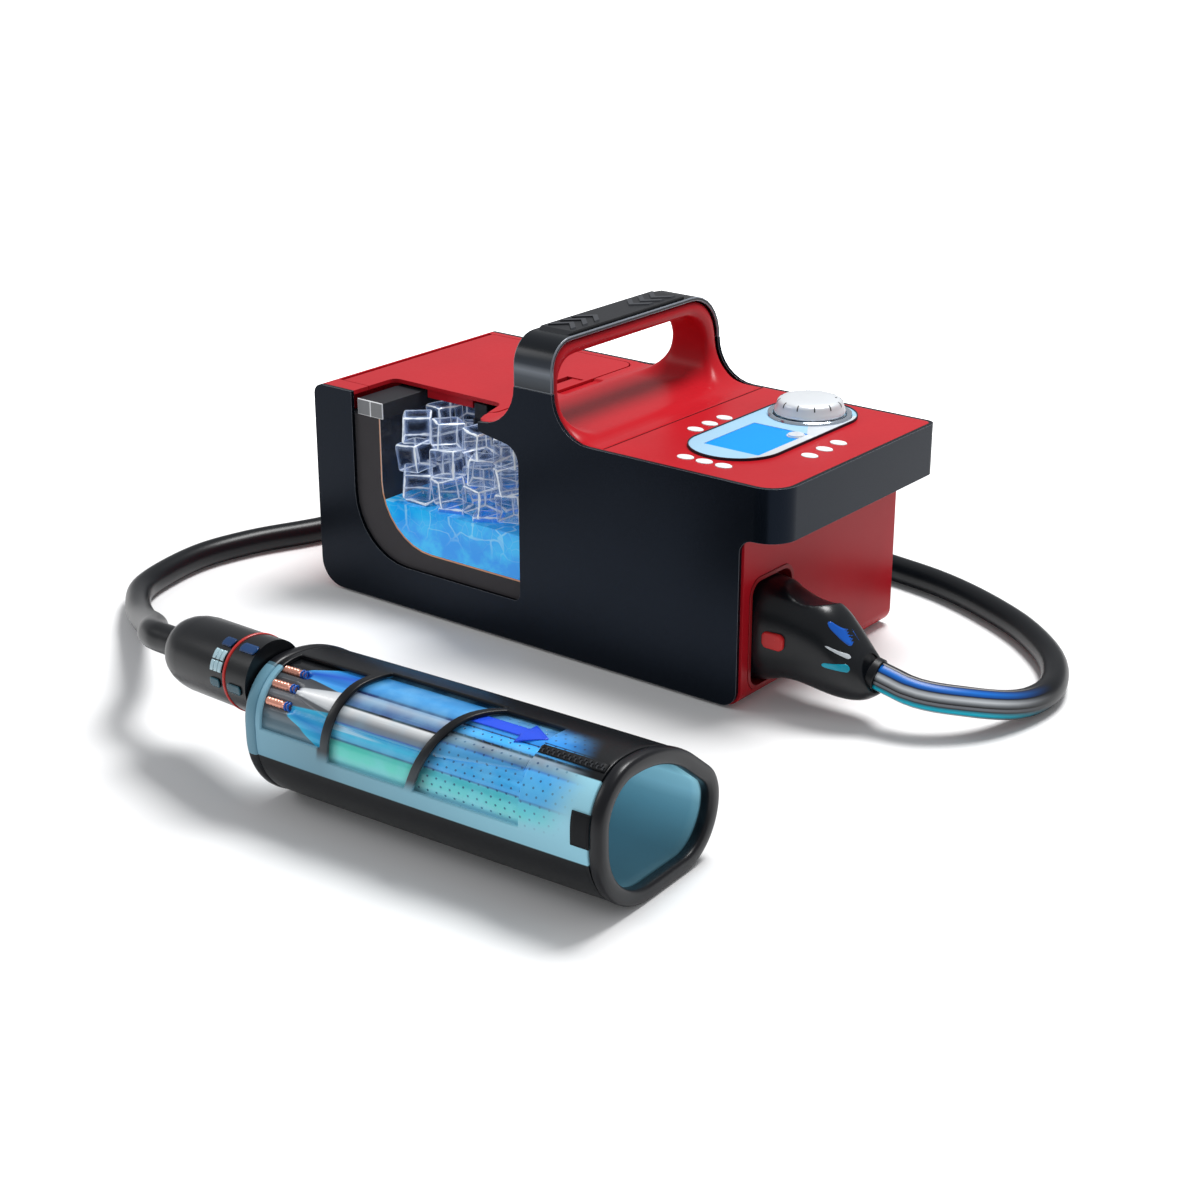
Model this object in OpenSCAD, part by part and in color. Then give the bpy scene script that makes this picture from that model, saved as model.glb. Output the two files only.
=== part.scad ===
// Hot and cold therapy machine: an insulated ice reservoir and a control head in one carried
// housing, a three-tube hose, and a sleeve wrap. The front is cut away at the reservoir.
// X runs along the housing to the control head, the long front faces -Y, and Z = 0 is the floor.

/* [Housing] */
// Overall length of the machine, tail to control head
unit_l = 412; // [404:1:430]
// Overall width over the front and rear covers
unit_w = 197; // [190:1:215]
// Height of the flat deck above the floor
deck_h = 159; // [155:1:170]
// Wall of the moulded covers
wall = 3; // [2.5:0.5:3.5]
// Height of the anti-slip strips under the base
foot_h = 2; // [1.5:0.5:4]
// How far the control head stands out past the end wall
head_overhang = 28; // [24:1:34]
// Height of the band round the control head
band_h = 37; // [32:1:42]
// Plan radius of the control head's front corner
head_corner_r = 20; // [14:1:26]
// Plan radius of the control head's rear corner
head_back_r = 8; // [6:1:14]
// Corner radius at the foot of the covers
foot_corner_r = 20; // [14:1:26]
// Corner radius at the top of the tail
tail_top_r = 8; // [6:1:9]

/* [Handle] */
// Middle of the handle, from the middle of the machine
handle_x = 4; // [0:1:8]
// Width of the handle along the machine
handle_w = 33.5; // [28:0.5:40]
// Height of the handle's strap above the floor
handle_top = 226; // [218:1:236]
// Thickness of the handle's front leg with its strap
front_leg_t = 10; // [9:0.5:14]
// Thickness of the handle's rear leg with its strap
rear_leg_t = 17; // [12:0.5:22]
// Height of the handle's grip with its strap
grip_h = 14; // [12:0.5:18]
// Thickness of the strap over the handle
strap_t = 3; // [2:0.5:4]
// How far the strap reaches down each leg from its top
strap_drop = 36; // [32:1:40]
// Thickness of the rubber grip pad
pad_t = 2; // [1.5:0.5:3]

/* [Cutaway] */
// Distance of the cut's left edge from the tail
cut_left_in = 38; // [34:1:44]
// Right edge of the cut
cut_right = -9.5; // [-14:0.5:-6]
// Height of the cut's lower edge
cut_floor = 33; // [28:1:38]
// Radius of the cut's lower left corner
cut_r = 50; // [40:1:56]
// How far the cut runs back from the front into the lid
cut_depth = 46.5; // [42:0.5:52]

/* [Reservoir] */
// Distance of the tank's left wall from the tail
tank_left_in = 62; // [58:1:68]
// Right wall of the tank
tank_right = 8; // [2:1:12]
// Height of the tank's floor
tank_floor = 46.5; // [42:0.5:50]
// Radius of the tank's lower left corner
tank_r = 48; // [36:1:56]
// Rear wall of the tank
tank_back = 70; // [62:1:74]
// Wall of the metal liner
liner_t = 1.2; // [1:0.1:2]
// Height of the water above the floor
water_level = 81; // [70:1:95]
// Edge length of the ice cubes
ice_edge = 21; // [18:0.5:22]
// Height of the rim round the tank's mouth
rim_h = 12; // [10:0.5:13]

/* [Lid] */
// Front edge of the lid
lid_front = -80; // [-84:1:-76]
// Rear edge of the lid
lid_back = 90; // [84:1:91]
// Gap round the lid
lid_gap = 0.6; // [0.4:0.1:1]
// Radius of the barrel along the lid's hinged edge
barrel_r = 4; // [3.5:0.5:4.5]
// Radius of the hinge pin
pin_r = 1.5; // [1.2:0.1:2]
// Length of the latch across the machine
latch_w = 30; // [24:1:36]
// Travel of the latch
latch_travel = 4; // [3:0.5:5]

/* [Controls] */
// Length of the control panel from the seam to the head's end
panel_l = 144; // [140:1:150]
// Width of the display bezel
bezel_w = 66; // [60:1:72]
// Length of the display bezel
bezel_l = 155; // [150:1:160]
// Width of the screen
screen_w = 44; // [38:1:50]
// Length of the screen
screen_l = 60; // [50:1:64]
// Radius of the dial
knob_r = 25; // [22:0.5:27]
// Height of the dial
knob_h = 11; // [9:0.5:16]
// Travel of the pressed dial
dial_travel = 1; // [0.6:0.1:1.2]
// Half length of a button
button_a = 6.2; // [5:0.1:7]
// Half width of a button
button_b = 4.6; // [4:0.1:5.2]
// Travel of a button
button_travel = 1; // [0.6:0.1:1.4]

/* [Plug] */
// Middle of the plug across the machine
plug_y = -62; // [-64:1:-58]
// Width of the plug
plug_w = 46; // [42:1:50]
// Height of the plug's seat above the floor
plug_z = 50; // [49:1:54]
// Height of the plug at its seat
plug_h = 74; // [70:1:76]
// Depth of the plug inside its socket
plug_depth = 10; // [8:1:14]
// Travel of the release button
release_travel = 1.5; // [1:0.25:2]

/* [Hose] */
// Diameter of the hose
hose_d = 19; // [17:0.5:21]
// Length of the sleeve round the hose at the plug
boot_l = 6; // [5:0.5:9]

/* [Wrap] */
// Length of the sleeve wrap
wrap_l = 258; // [240:1:300]
// Width of the wrap as it lies
wrap_w = 121; // [116:1:128]
// Height of the wrap as it lies
wrap_h = 92.5; // [90:0.5:98]
// Thickness of the outer fabric
fabric_t = 3; // [2:0.5:4]
// Thickness of the bladders
bladder_t = 4; // [3:0.5:5]
// Thickness of the lining
lining_t = 2.5; // [2:0.5:3]
// Width of the binding at each end
binding_w = 9; // [7:0.5:12]
// Outer radius of the wrap's connector
connector_r = 24; // [22:0.5:26]

/* [Hidden] */

// Clearances
gap = 0.3;
seam = 0.2;
running = 0.05;
eps = 0.01;

// Faces of the housing
x_tail = -unit_l / 2;
x_head = unit_l / 2;
x_wall = x_head - head_overhang;
x_seam = x_head - panel_l;
y_out = unit_w / 2;
y_in = y_out - wall;
z_under = deck_h - wall;
z_band = deck_h - band_h;
z_base = foot_h;
z_tray = z_base + wall;
cover_inset = 2;
band_fillet_r = 10;
wall_corner_r = 12;
band_x = x_head - head_corner_r - 4;

// Strips under the base, each let into the tray
foot_places = [-140, 0, 130];
foot_l = 22;
foot_w = 150;
foot_seat = 1;

// Screws through the rear cover, each [x, z], and the bosses they enter
screw_places = [
    [x_tail + 22, z_base + 18], [x_tail + 22, deck_h - 24], [x_seam - 30, z_base + 18],
    [x_seam - 30, deck_h - 24], [x_wall - 22, z_base + 18]
];
screw_r = 1.5;
screw_head_r = 3;
screw_head_t = 1.6;
screw_l = 12;
boss_r = 4.5;
boss_l = 14;
post_t = 3;

// Handle faces
handle_l = handle_x - handle_w / 2;
handle_r = handle_x + handle_w / 2;
core_top = handle_top - strap_t;
pad_front = -y_out + 23;
pad_back = y_out - 40;
strap_start = handle_top - strap_drop;
flare_r = strap_start - deck_h;
arch_front_r = strap_drop - 15;
arch_rear_r = strap_drop;
opening_floor = deck_h + 2;
opening_top = handle_top - grip_h;
opening_front = -y_out + front_leg_t;
opening_back = y_out - rear_leg_t;

// Reservoir faces
x_cut = x_tail + cut_left_in;
tank_left = x_tail + tank_left_in;
foam_left = x_tail + 30;
foam_right = tank_right + 12;
foam_back = tank_back + 20;
cut_y = -y_in + seam;
tank_front = -tank_back - 4;
rim_top = z_under - 2.1;
foam_top = rim_top - rim_h;
foam_ledge = z_under - 7;
ceiling = foam_top - 4;
mouth_left = tank_left + 4;
cut_back = -y_out + cut_depth;
filter_r = 14;
filter_h = 12;

// Lid and latch
lid_clear = 37.5;
lid_right = handle_l - lid_clear;
curl_x = lid_right + 6.3;
hinge_x = x_tail + tail_top_r + 1 + barrel_r;
hinge_z = deck_h - barrel_r;
lid_corner_r = 12;
plug_drop = 7;
latch_y = 15;
latch_l = 10;
latch_x = lid_right - 14;
tongue_z = z_under - 4.6;
tongue_t = 4;
rail_t = 3;
spring_l = 9;
spring_r = 1.5;
spring_wire = 0.35;
spring_turns = 6;
spring_stop_x = latch_x - 1 - spring_l - 2 * gap;
stop_t = 2;
rim_right = spring_stop_x - stop_t - 1;
mouth_right = rim_right - 12;

// Ice cubes in layers, each [x, y, z, turn about the upright axis]
// The lowest layer clears the tank's round corner, the top one the lid's plug and the ceiling
ice_pitch = ice_edge * 1.45;
ice_reach = ice_edge * 0.71;
ice_layer = ice_edge + 0.3;
ice_low_left = tank_left + 14 + ice_reach;
ice_left = mouth_left + liner_t + 1 + ice_reach;
ice_layers = 4;
ice_top_back = -2;
ice_places = [
    for (k = [0:ice_layers - 1]) for (j = [0:4]) for (i = [0:3])
        let (x = (k == 0 ? ice_low_left : ice_left) + i * ice_pitch,
             y = cut_y + 2 + ice_reach + j * ice_pitch,
             z = water_level - 8 + k * ice_layer,
             top = k == ice_layers - 1)
        if (x + ice_reach < cut_right - liner_t - 1
            && y + ice_reach < (top ? ice_top_back : tank_back - liner_t - 1)
            && (!top || x + ice_reach < mouth_right - liner_t || y + ice_reach < cut_back))
            [x, y, z, 17 * i + 31 * j + 43 * k]
];

// Controls
bezel_x = x_head - 78;
bezel_y = 11.5;
bezel_top = deck_h + 1.2;
recess_z = deck_h - 2;
knob_y = bezel_y + bezel_l / 2 - bezel_w / 2;
screen_x = bezel_x + 3;
screen_y = bezel_y - 26.5;
lens_x = screen_x + screen_w / 2 - 5;
lens_y = screen_y + screen_l / 2 - 7;
lens_r = 5.5;
knob_z = bezel_top + 1.8;
shaft_r = 3;
board_z = z_under - 10;
board_t = 1.6;
flange_z = z_under - 0.2;
flange_t = 2;
flange_w = 1;
dome_h = flange_z - flange_t - button_travel - 0.2 - board_z - board_t;
encoder_h = z_under - 2.5 - board_z - board_t;
plunger_z = board_z + board_t + 1 + dial_travel + 0.2;
plunger_h = 1.5;
plunger_r = 5;
post_y = 60;
post_x = x_seam + 22;
post_r = 4;
spigot_r = 1.75;
button_row = bezel_y - bezel_l / 2 - button_b - 3.7;
button_places = [
    [bezel_x - 44, 14.8], [bezel_x - 44, -2.8], [bezel_x - 44, -19.9],
    [bezel_x - 13, button_row], [bezel_x + 2.2, button_row], [bezel_x + 17.6, button_row],
    [bezel_x + 50, 14.3], [bezel_x + 50, -3.3], [bezel_x + 50, -21.3]
];

// Plug and hose. The route is laid along the floor, round the back of the machine.
plug_top = plug_z + plug_h / 2;
plug_low = plug_z - plug_h / 2;
socket_wall = 3;
socket_l = 18;
socket_flange = 5;
tube_pitch = 20;
tube_l = 40;
release_x = x_wall + 16.5;
release_z = plug_z + 1;
release_a = 8.3;
release_b = 5.8;
release_depth = 9;
inlet_x = x_wall - 40;
inlet_z = z_base + 40;
inlet_r = 7;
inlet_bore_r = 4;
inlet_l = 22;
inlet_depth = 12;
hose_z = 10.5;
hose_route = [
    [262, -60, 36], [272, -59, 33.5], [282, -58, 31], [314, -37, 24], [333, 6, 13], [334, 40, hose_z],
    [322, 72, hose_z], [280, 118, hose_z], [232, 147, hose_z], [180, 167, hose_z],
    [135, 175, hose_z], [60, 182, hose_z], [-40, 180, hose_z], [-140, 158, hose_z],
    [-216, 112, hose_z], [-256, 30, hose_z], [-275, -35, hose_z], [-297, -90, hose_z],
    [-304, -130, hose_z], [-299, -170, hose_z], [-284, -210, 11], [-258, -236, 14],
    [-218, -265, 22], [-160, -303, 42], [-105, -345, 63],
    [-91, -347.5, 64.5], [-77, -350, 66]
];
hose_steps = 3;
hose_sides = 10;
hose_first = hose_route[0];
hose_last = hose_route[len(hose_route) - 1];
plug_dir = unit(hose_route[1] - hose_first);
connector_dir = unit(hose_last - hose_route[len(hose_route) - 2]);
nose_tip = hose_first - plug_dir * boot_l;

// Works between the reservoir and the end wall
line_r = 3.5;
pump_x = foam_right + 44;
pump_y = -46;
pump_z = z_tray;
pump_r = 21;
pump_foot_t = 5;
pump_body_h = 24;
pump_motor_h = 42;
pump_port_z = pump_z + 17;
air_y = 44;
air_half_l = 30;
air_half_w = 24;
air_h = 34;
air_motor_r = 16;
air_motor_h = 26;
air_port_z = pump_z + 9;
manifold_x = x_wall - wall - socket_l - 16;
tap_x = foam_right + 8;
tap_z = tank_floor + liner_t + 9;

// Wrap
wrap_x = 24;
wrap_y = -336;
wrap_yaw = 3;
bladder_in = fabric_t + gap;
lining_in = bladder_in + bladder_t + gap;
lining_end = lining_in + lining_t;
connector_l = 120;
ring_s = 86;
ring_w = 2.5;
bore_start = 8;
bore_pitch = 7.5;
bore_r = 3;
barb_l = 20;
barb_r = bladder_t / 2;
barb_turns = [105, 128, 150];
air_start = binding_w + barb_l + 3;
air_l = wrap_l * 0.65;
air_w = 16;
air_turn = 140;
zip_start = wrap_l * 0.79;
zip_teeth = 13;
zip_pitch = 3.6;
zip_w = 5;
zip_turn = 112;

// The wrap's front shoulder, and the windows in the outer fabric with hoops left between them,
// each [start, end, back, bottom]
shoulder_r = 33;
shoulder_y = shoulder_r - wrap_w / 2;
shoulder_z = wrap_h - shoulder_r;
hoop_w = 6;
hoop_places = [wrap_l * 0.245, wrap_l * 0.525];
windows = [
    [binding_w + 3, hoop_places[0] - hoop_w / 2, shoulder_y - 2, wrap_h * 0.6],
    [hoop_places[0] + hoop_w / 2, hoop_places[1] - hoop_w / 2, shoulder_y + 19, wrap_h * 0.53],
    [hoop_places[1] + hoop_w / 2, wrap_l * 0.78, shoulder_y + 17, wrap_h * 0.53]
];

function unit(v) = v / norm(v);

// Points of an outline whose corners are given as [x, y, radius]
function corner(a, b, c, r, n = 8) =
    r == 0 ? [b] :
    let (u = unit(a - b), w = unit(c - b), half = acos(u * w) / 2,
         m = unit(u + w), o = b + m * (r / sin(half)),
         p = b + u * (r / tan(half)), q = b + w * (r / tan(half)),
         a0 = atan2(p.y - o.y, p.x - o.x), a1 = atan2(q.y - o.y, q.x - o.x),
         d = a1 - a0 > 180 ? a1 - a0 - 360 : a1 - a0 < -180 ? a1 - a0 + 360 : a1 - a0)
    [for (i = [0:n]) o + r * [cos(a0 + d * i / n), sin(a0 + d * i / n)]];
function rounded(v, n = 8) =
    [for (i = [0:len(v) - 1])
        let (a = v[(i + len(v) - 1) % len(v)], b = v[i], c = v[(i + 1) % len(v)])
        each corner([a.x, a.y], [b.x, b.y], [c.x, c.y], b.z, n)];
function box_outline(x0, x1, y0, y1, r) =
    rounded([[x0, y0, r], [x1, y0, r], [x1, y1, r], [x0, y1, r]]);
function ellipse(a, b, n = 32) = [for (i = [0:n - 1]) [a * cos(360 * i / n), b * sin(360 * i / n)]];

// Catmull-Rom points through a route
function bend(p0, p1, p2, p3, t) =
    0.5 * (2 * p1 + (p2 - p0) * t + (2 * p0 - 5 * p1 + 4 * p2 - p3) * t * t
        + (3 * p1 - p0 - 3 * p2 + p3) * t * t * t);
function smooth(p, steps) =
    let (n = len(p), q = [2 * p[0] - p[1], each p, 2 * p[n - 1] - p[n - 2]])
    [for (i = [0:n - 2]) for (k = [0:steps - 1])
        bend(q[i], q[i + 1], q[i + 2], q[i + 3], k / steps), p[n - 1]];

module box(x0, x1, y0, y1, z0, z1) {
    translate([x0, y0, z0])
        cube([x1 - x0, y1 - y0, z1 - z0]);
}

// An outline drawn in XZ, from y0 to y1
module plate_xz(points, y0, y1) {
    translate([0, y1, 0])
        rotate([90, 0, 0])
            linear_extrude(y1 - y0)
                polygon(points);
}

// An outline drawn in YZ, from x0 to x1
module plate_yz(points, x0, x1) {
    translate([x0, 0, 0])
        rotate([90, 0, 90])
            linear_extrude(x1 - x0)
                polygon(points);
}

// An outline drawn in XY, from z0 to z1
module slab(points, z0, z1) {
    translate([0, 0, z0])
        linear_extrude(z1 - z0)
            polygon(points);
}

module rod(from, direction, length, r) {
    d = unit(direction);
    translate(from)
        rotate([0, acos(d.z), atan2(d.y, d.x)])
            cylinder(h = length, r = r, $fn = 48);
}

// A tube along a route, as one closed surface. No part of the route may run along `up`.
module sweep(route, r, sides, up = [0, 0, 1]) {
    n = len(route);
    rings = [for (i = [0:n - 1])
        let (t = i == 0 ? unit(route[1] - route[0]) :
                 i == n - 1 ? unit(route[n - 1] - route[n - 2]) :
                 unit(route[i + 1] - route[i - 1]),
             side = unit(cross(t, up)), top = cross(side, t))
        for (k = [0:sides - 1])
            route[i] + r * (side * cos(360 * k / sides) + top * sin(360 * k / sides))];
    faces = [
        for (i = [0:n - 2]) for (k = [0:sides - 1])
            let (a = i * sides + k, b = i * sides + (k + 1) % sides)
            [a, a + sides, b + sides, b],
        [for (k = [0:sides - 1]) k],
        [for (k = [0:sides - 1]) (n - 1) * sides + sides - 1 - k]
    ];
    polyhedron(points = rings, faces = faces, convexity = 8);
}

/* Housing */

// Side view of a cover that ends at x1 on the head, with the flares up to the strap
function cover_outline(x1) = rounded([
    [x_tail, z_base, foot_corner_r],
    [x_wall - cover_inset, z_base, wall_corner_r],
    [x_wall - cover_inset, z_band, band_fillet_r],
    [x1, z_band, 0],
    [x1, deck_h, 0],
    [handle_r, deck_h, flare_r],
    [handle_r, strap_start, 0],
    [handle_l, strap_start, 0],
    [handle_l, deck_h, flare_r],
    [x_tail, deck_h, tail_top_r]
]);

// Side view of the cut, open at the top of the front cover
cut_outline = rounded([
    [x_cut, deck_h + 10, 0],
    [x_cut, cut_floor, cut_r],
    [cut_right, cut_floor, 6],
    [cut_right, z_under - 10, 14],
    [curl_x - 2, z_under - 4, 4],
    [curl_x - 2, deck_h + 10, 0]
]);

// Plan of the cut through the deck and the lid
notch_outline = rounded([
    [x_cut, -y_out - 5, 0],
    [x_cut, cut_back, 6],
    [lid_right - 11, cut_back - 2, 9],
    [lid_right - 1, -y_out + 9, 5],
    [curl_x, -y_out + 3, 2],
    [curl_x, -y_out - 5, 0]
]);

head_outline = rounded([
    [x_seam, -y_out, 0], [x_head, -y_out, head_corner_r],
    [x_head, y_out, head_back_r], [x_seam, y_out, 0]
]);
head_inner = rounded([
    [x_seam - 1, -y_in, 0], [x_head - wall, -y_in, head_corner_r - wall],
    [x_head - wall, y_in, head_back_r - wall], [x_seam - 1, y_in, 0]
]);
module front_cover() {
    color("#11151c")
        difference() {
            union() {
                plate_xz(cover_outline(x_head - head_corner_r), -y_out, -y_in);
                head_band();
            }
            plate_xz(cut_outline, -y_out - 1, -y_in + 1);
        }
}

// The band round the control head, with its underside
module head_band() {
    difference() {
        intersection() {
            slab(head_outline, z_band, deck_h);
            box(band_x, x_head, -y_out, y_out, z_band, deck_h);
        }
        slab(head_inner, z_band + wall, deck_h + 1);
    }
    box(x_wall - wall, band_x + eps, -y_in, y_in, z_band, z_band + wall);
}

module rear_cover() {
    color("#11151c")
        difference() {
            plate_xz(cover_outline(band_x), y_in, y_out);
            for (p = screw_places) {
                translate([p.x, y_in - 1, p.y])
                    rotate([-90, 0, 0])
                        cylinder(h = wall + 2, r = screw_r + gap, $fn = 32);
                translate([p.x, y_out - screw_head_t, p.y])
                    rotate([-90, 0, 0])
                        cylinder(h = screw_head_t + 1, r = screw_head_r + gap, $fn = 32);
            }
            translate([inlet_x, y_in - 1, inlet_z])
                rotate([-90, 0, 0])
                    cylinder(h = wall + 2, r = inlet_r + seam, $fn = 48);
        }
}
module cover_screws() {
    color("silver")
        for (p = screw_places)
            translate([p.x, y_out - screw_head_t, p.y])
                rotate([-90, 0, 0]) {
                    cylinder(h = screw_head_t - seam, r = screw_head_r, $fn = 32);
                    translate([0, 0, -screw_l])
                        cylinder(h = screw_l + eps, r = screw_r, $fn = 32);
                }
}

module base_tray() {
    color("#1b1d22")
        difference() {
            union() {
                box(x_tail + foot_corner_r, x_wall - wall_corner_r, -y_in, y_in, z_base, z_tray);
                for (p = screw_places)
                    translate([p.x, y_in - boss_l, 0])
                        screw_boss(p);
            }
            for (p = screw_places)
                translate([p.x, y_in - boss_l - 1, p.y])
                    rotate([-90, 0, 0])
                        cylinder(h = boss_l + 2, r = screw_r + running, $fn = 32);
            for (x = foot_places)
                box(x - foot_l / 2 - seam, x + foot_l / 2 + seam, -foot_w / 2 - seam,
                    foot_w / 2 + seam, z_base - 1, z_base + foot_seat);
        }
}

// A screw boss on a post that stands on the tray
module screw_boss(p) {
    translate([0, 0, p.y])
        rotate([-90, 0, 0])
            cylinder(h = boss_l, r = boss_r, $fn = 32);
    translate([-post_t / 2, 0, z_tray - 1])
        cube([post_t, boss_l, p.y - z_tray + 1]);
}

module rubber_feet() {
    color("#26272a")
        for (x = foot_places)
            box(x - foot_l / 2, x + foot_l / 2, -foot_w / 2, foot_w / 2, 0, z_base + foot_seat);
}

// Walls that bend under the housing at their foot
module tail_wall() {
    outer = rounded([
        [x_tail, z_base, foot_corner_r], [x_tail + foot_corner_r, z_base, 0],
        [x_tail + foot_corner_r, z_tray, 0], [x_tail + wall, z_tray, foot_corner_r - wall],
        [x_tail + wall, z_under, tail_top_r - wall], [x_tail + tail_top_r, z_under, 0],
        [x_tail + tail_top_r, deck_h, 0], [x_tail, deck_h, tail_top_r]
    ]);
    color("#9a1a22")
        plate_xz(outer, -y_in, y_in);
}

module end_wall() {
    outer = rounded([
        [x_wall, z_base, wall_corner_r], [x_wall, z_band, 0], [x_wall - wall, z_band, 0],
        [x_wall - wall, z_tray, wall_corner_r - wall], [x_wall - wall_corner_r, z_tray, 0],
        [x_wall - wall_corner_r, z_base, 0]
    ]);
    color("#8f1820")
        difference() {
            plate_xz(outer, -y_in, y_in);
            plate_yz(seat_outline(socket_wall + seam), x_wall - wall_corner_r - 1, x_wall + 1);
        }
}

// Front view of the plug's seat, grown by a margin
function seat_outline(grow) =
    box_outline(plug_y - plug_w / 2 - grow, plug_y + plug_w / 2 + grow,
        plug_low - grow, plug_top + grow, 9 + grow);

/* Deck, handle and lid */

flare_outline = rounded([
    [lid_right - 10, z_under, 0], [x_seam - seam, z_under, 0], [x_seam - seam, deck_h, 0],
    [handle_r, deck_h, flare_r], [handle_r, core_top, 0],
    [handle_l, core_top, 0], [handle_l, deck_h, flare_r], [lid_right - 10, deck_h, 0]
]);
arch_outline = rounded([
    [-y_in, z_under - 1, 0], [-y_in, core_top, arch_front_r - strap_t],
    [y_in, core_top, arch_rear_r - strap_t], [y_in, z_under - 1, 0]
]);
opening_outline = rounded([
    [opening_front, opening_floor, 16], [opening_front, opening_top, 16],
    [opening_back, opening_top, 26], [opening_back, opening_floor, 20]
]);

module deck_shell() {
    color("#b0202a")
        difference() {
            union() {
                box(x_tail + tail_top_r, lid_right + 10, -y_in, y_in, z_under, deck_h);
                intersection() {
                    plate_xz(flare_outline, -y_in, y_in);
                    plate_yz(arch_outline, lid_right - 11, x_seam);
                }
                for (s = [0, 1])
                    hinge_boss(s);
            }
            plate_yz(opening_outline, handle_l - flare_r - 10, handle_r + flare_r + 10);
            slab(rounded([
                [x_tail, lid_front, 0], [lid_right, lid_front, lid_corner_r],
                [lid_right, lid_back, lid_corner_r], [x_tail, lid_back, 0]
            ]), z_under - 1, deck_h + 1);
            slab(notch_outline, z_under - 10, handle_top);
            finger_dish();
            translate([hinge_x, lid_front - 8, hinge_z])
                rotate([-90, 0, 0])
                    cylinder(h = lid_back - lid_front + 16, r = pin_r + running, $fn = 32);
        }
}

// Ears that carry the ends of the hinge pin, under the deck
module hinge_boss(s) {
    y0 = s == 0 ? lid_front - 5 : lid_back;
    y1 = s == 0 ? lid_front : min(lid_back + 5, y_in);
    box(hinge_x - 3.4, hinge_x + 3.4, y0, y1, hinge_z - 3.4, z_under + eps);
}

module finger_dish() {
    slab(box_outline(lid_right - 2, lid_right + 9, latch_y - 23, latch_y + 23, 2),
        deck_h - 2, deck_h + 1);
}

module handle_cover() {
    outer = rounded([
        [-y_out, strap_start, 0], [-y_out, handle_top, arch_front_r],
        [y_out, handle_top, arch_rear_r],
        [y_out, strap_start, 0]
    ]);
    color("#151a22")
        difference() {
            plate_yz(outer, handle_l, handle_r);
            plate_yz(arch_outline, handle_l - 1, handle_r + 1);
        }
}

module grip_pad() {
    color("#2c2e33")
        intersection() {
            plate_yz(rounded([
                [pad_front, handle_top, 0], [pad_front + 4, handle_top + pad_t, 2],
                [pad_back - 4, handle_top + pad_t, 2], [pad_back, handle_top, 0]
            ]), handle_l + 3, handle_r - 3);
            slab(box_outline(handle_l + 3, handle_r - 3, pad_front, pad_back, 3),
                handle_top, handle_top + pad_t);
        }
}

module lid() {
    color("#b0202a")
        difference() {
            union() {
                slab(rounded([
                    [hinge_x, lid_front + lid_gap, 0],
                    [lid_right - lid_gap, lid_front + lid_gap, lid_corner_r - lid_gap],
                    [lid_right - lid_gap, lid_back - lid_gap, lid_corner_r - lid_gap],
                    [hinge_x, lid_back - lid_gap, 0]
                ]), z_under, deck_h);
                translate([hinge_x, lid_front + lid_gap, hinge_z])
                    rotate([-90, 0, 0])
                        cylinder(h = lid_back - lid_front - 2 * lid_gap, r = barrel_r, $fn = 48);
                box(mouth_left + 3, mouth_right - 3, cut_back + 2, tank_back - 8,
                    z_under - plug_drop, z_under + eps);
                for (s = [-1, 1])
                    latch_rail(s);
                box(spring_stop_x - stop_t, spring_stop_x, latch_y - 4, latch_y + 4,
                    tongue_z, z_under + eps);
            }
            slab(notch_outline, hinge_z - 10, handle_top);
            box(latch_x - latch_travel - 1, latch_x + latch_l + 0.5,
                latch_y - latch_w / 2 - 0.4, latch_y + latch_w / 2 + 0.4, z_under - 1, deck_h + 1);
            translate([hinge_x, lid_front - 8, hinge_z])
                rotate([-90, 0, 0])
                    cylinder(h = lid_back - lid_front + 16, r = pin_r + running, $fn = 32);
        }
}

// Rails under the lid on each side of the latch
module latch_rail(s) {
    y = latch_y + s * (latch_w / 2 + 3 + rail_t / 2);
    box(latch_x - 3, lid_right - lid_gap - 2, y - rail_t / 2, y + rail_t / 2,
        tongue_z, z_under + eps);
}

module lid_latch() {
    color("#9a1a22")
        union() {
            box(latch_x, latch_x + latch_l, latch_y - latch_w / 2, latch_y + latch_w / 2,
                tongue_z + tongue_t - eps, deck_h - 0.6);
            box(latch_x - 1, lid_right - lid_gap - 0.2, latch_y - latch_w / 2 - 2.6,
                latch_y + latch_w / 2 + 2.6, tongue_z, tongue_z + tongue_t);
        }
}

// Compression spring between the lid's stop and the latch
module latch_spring() {
    steps = 12;
    n = spring_turns * steps;
    route = [for (i = [0:n])
        [spring_stop_x + gap + spring_wire + (spring_l - 2 * spring_wire) * i / n,
         latch_y + spring_r * cos(360 * i / steps),
         tongue_z + tongue_t / 2 + spring_r * sin(360 * i / steps)]];
    color("silver")
        sweep(route, spring_wire, 8, [1, 0, 0]);
}

module hinge_pin() {
    color("silver")
        translate([hinge_x, lid_front - 5, hinge_z])
            rotate([-90, 0, 0])
                cylinder(h = lid_back - lid_front + 10 - gap, r = pin_r, $fn = 32);
}

module lid_gasket() {
    color("#3a3c40")
        difference() {
            slab(box_outline(mouth_left - 6, mouth_right + 6, cut_back + 4,
                tank_back + 1, 4), rim_top + gap, z_under);
            slab(box_outline(mouth_left + 2.5, mouth_right - 2.5, cut_back - 10,
                tank_back - 7.5, 0), rim_top - 1, z_under + 1);
        }
}

/* Reservoir */

tank_outline = rounded([
    [tank_left, foam_top, 0], [tank_left, tank_floor, tank_r], [tank_right, tank_floor, 10],
    [tank_right, ceiling, 6], [mouth_right, ceiling, 0], [mouth_right, foam_top, 0]
]);
function tank_inner(t) = rounded([
    [tank_left + t, foam_top + 1, 0], [tank_left + t, tank_floor + t, tank_r - t],
    [tank_right - t, tank_floor + t, 10 - t], [tank_right - t, ceiling - t, 6 - t],
    [mouth_right - t, ceiling - t, 0], [mouth_right - t, foam_top + 1, 0]
]);

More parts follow.
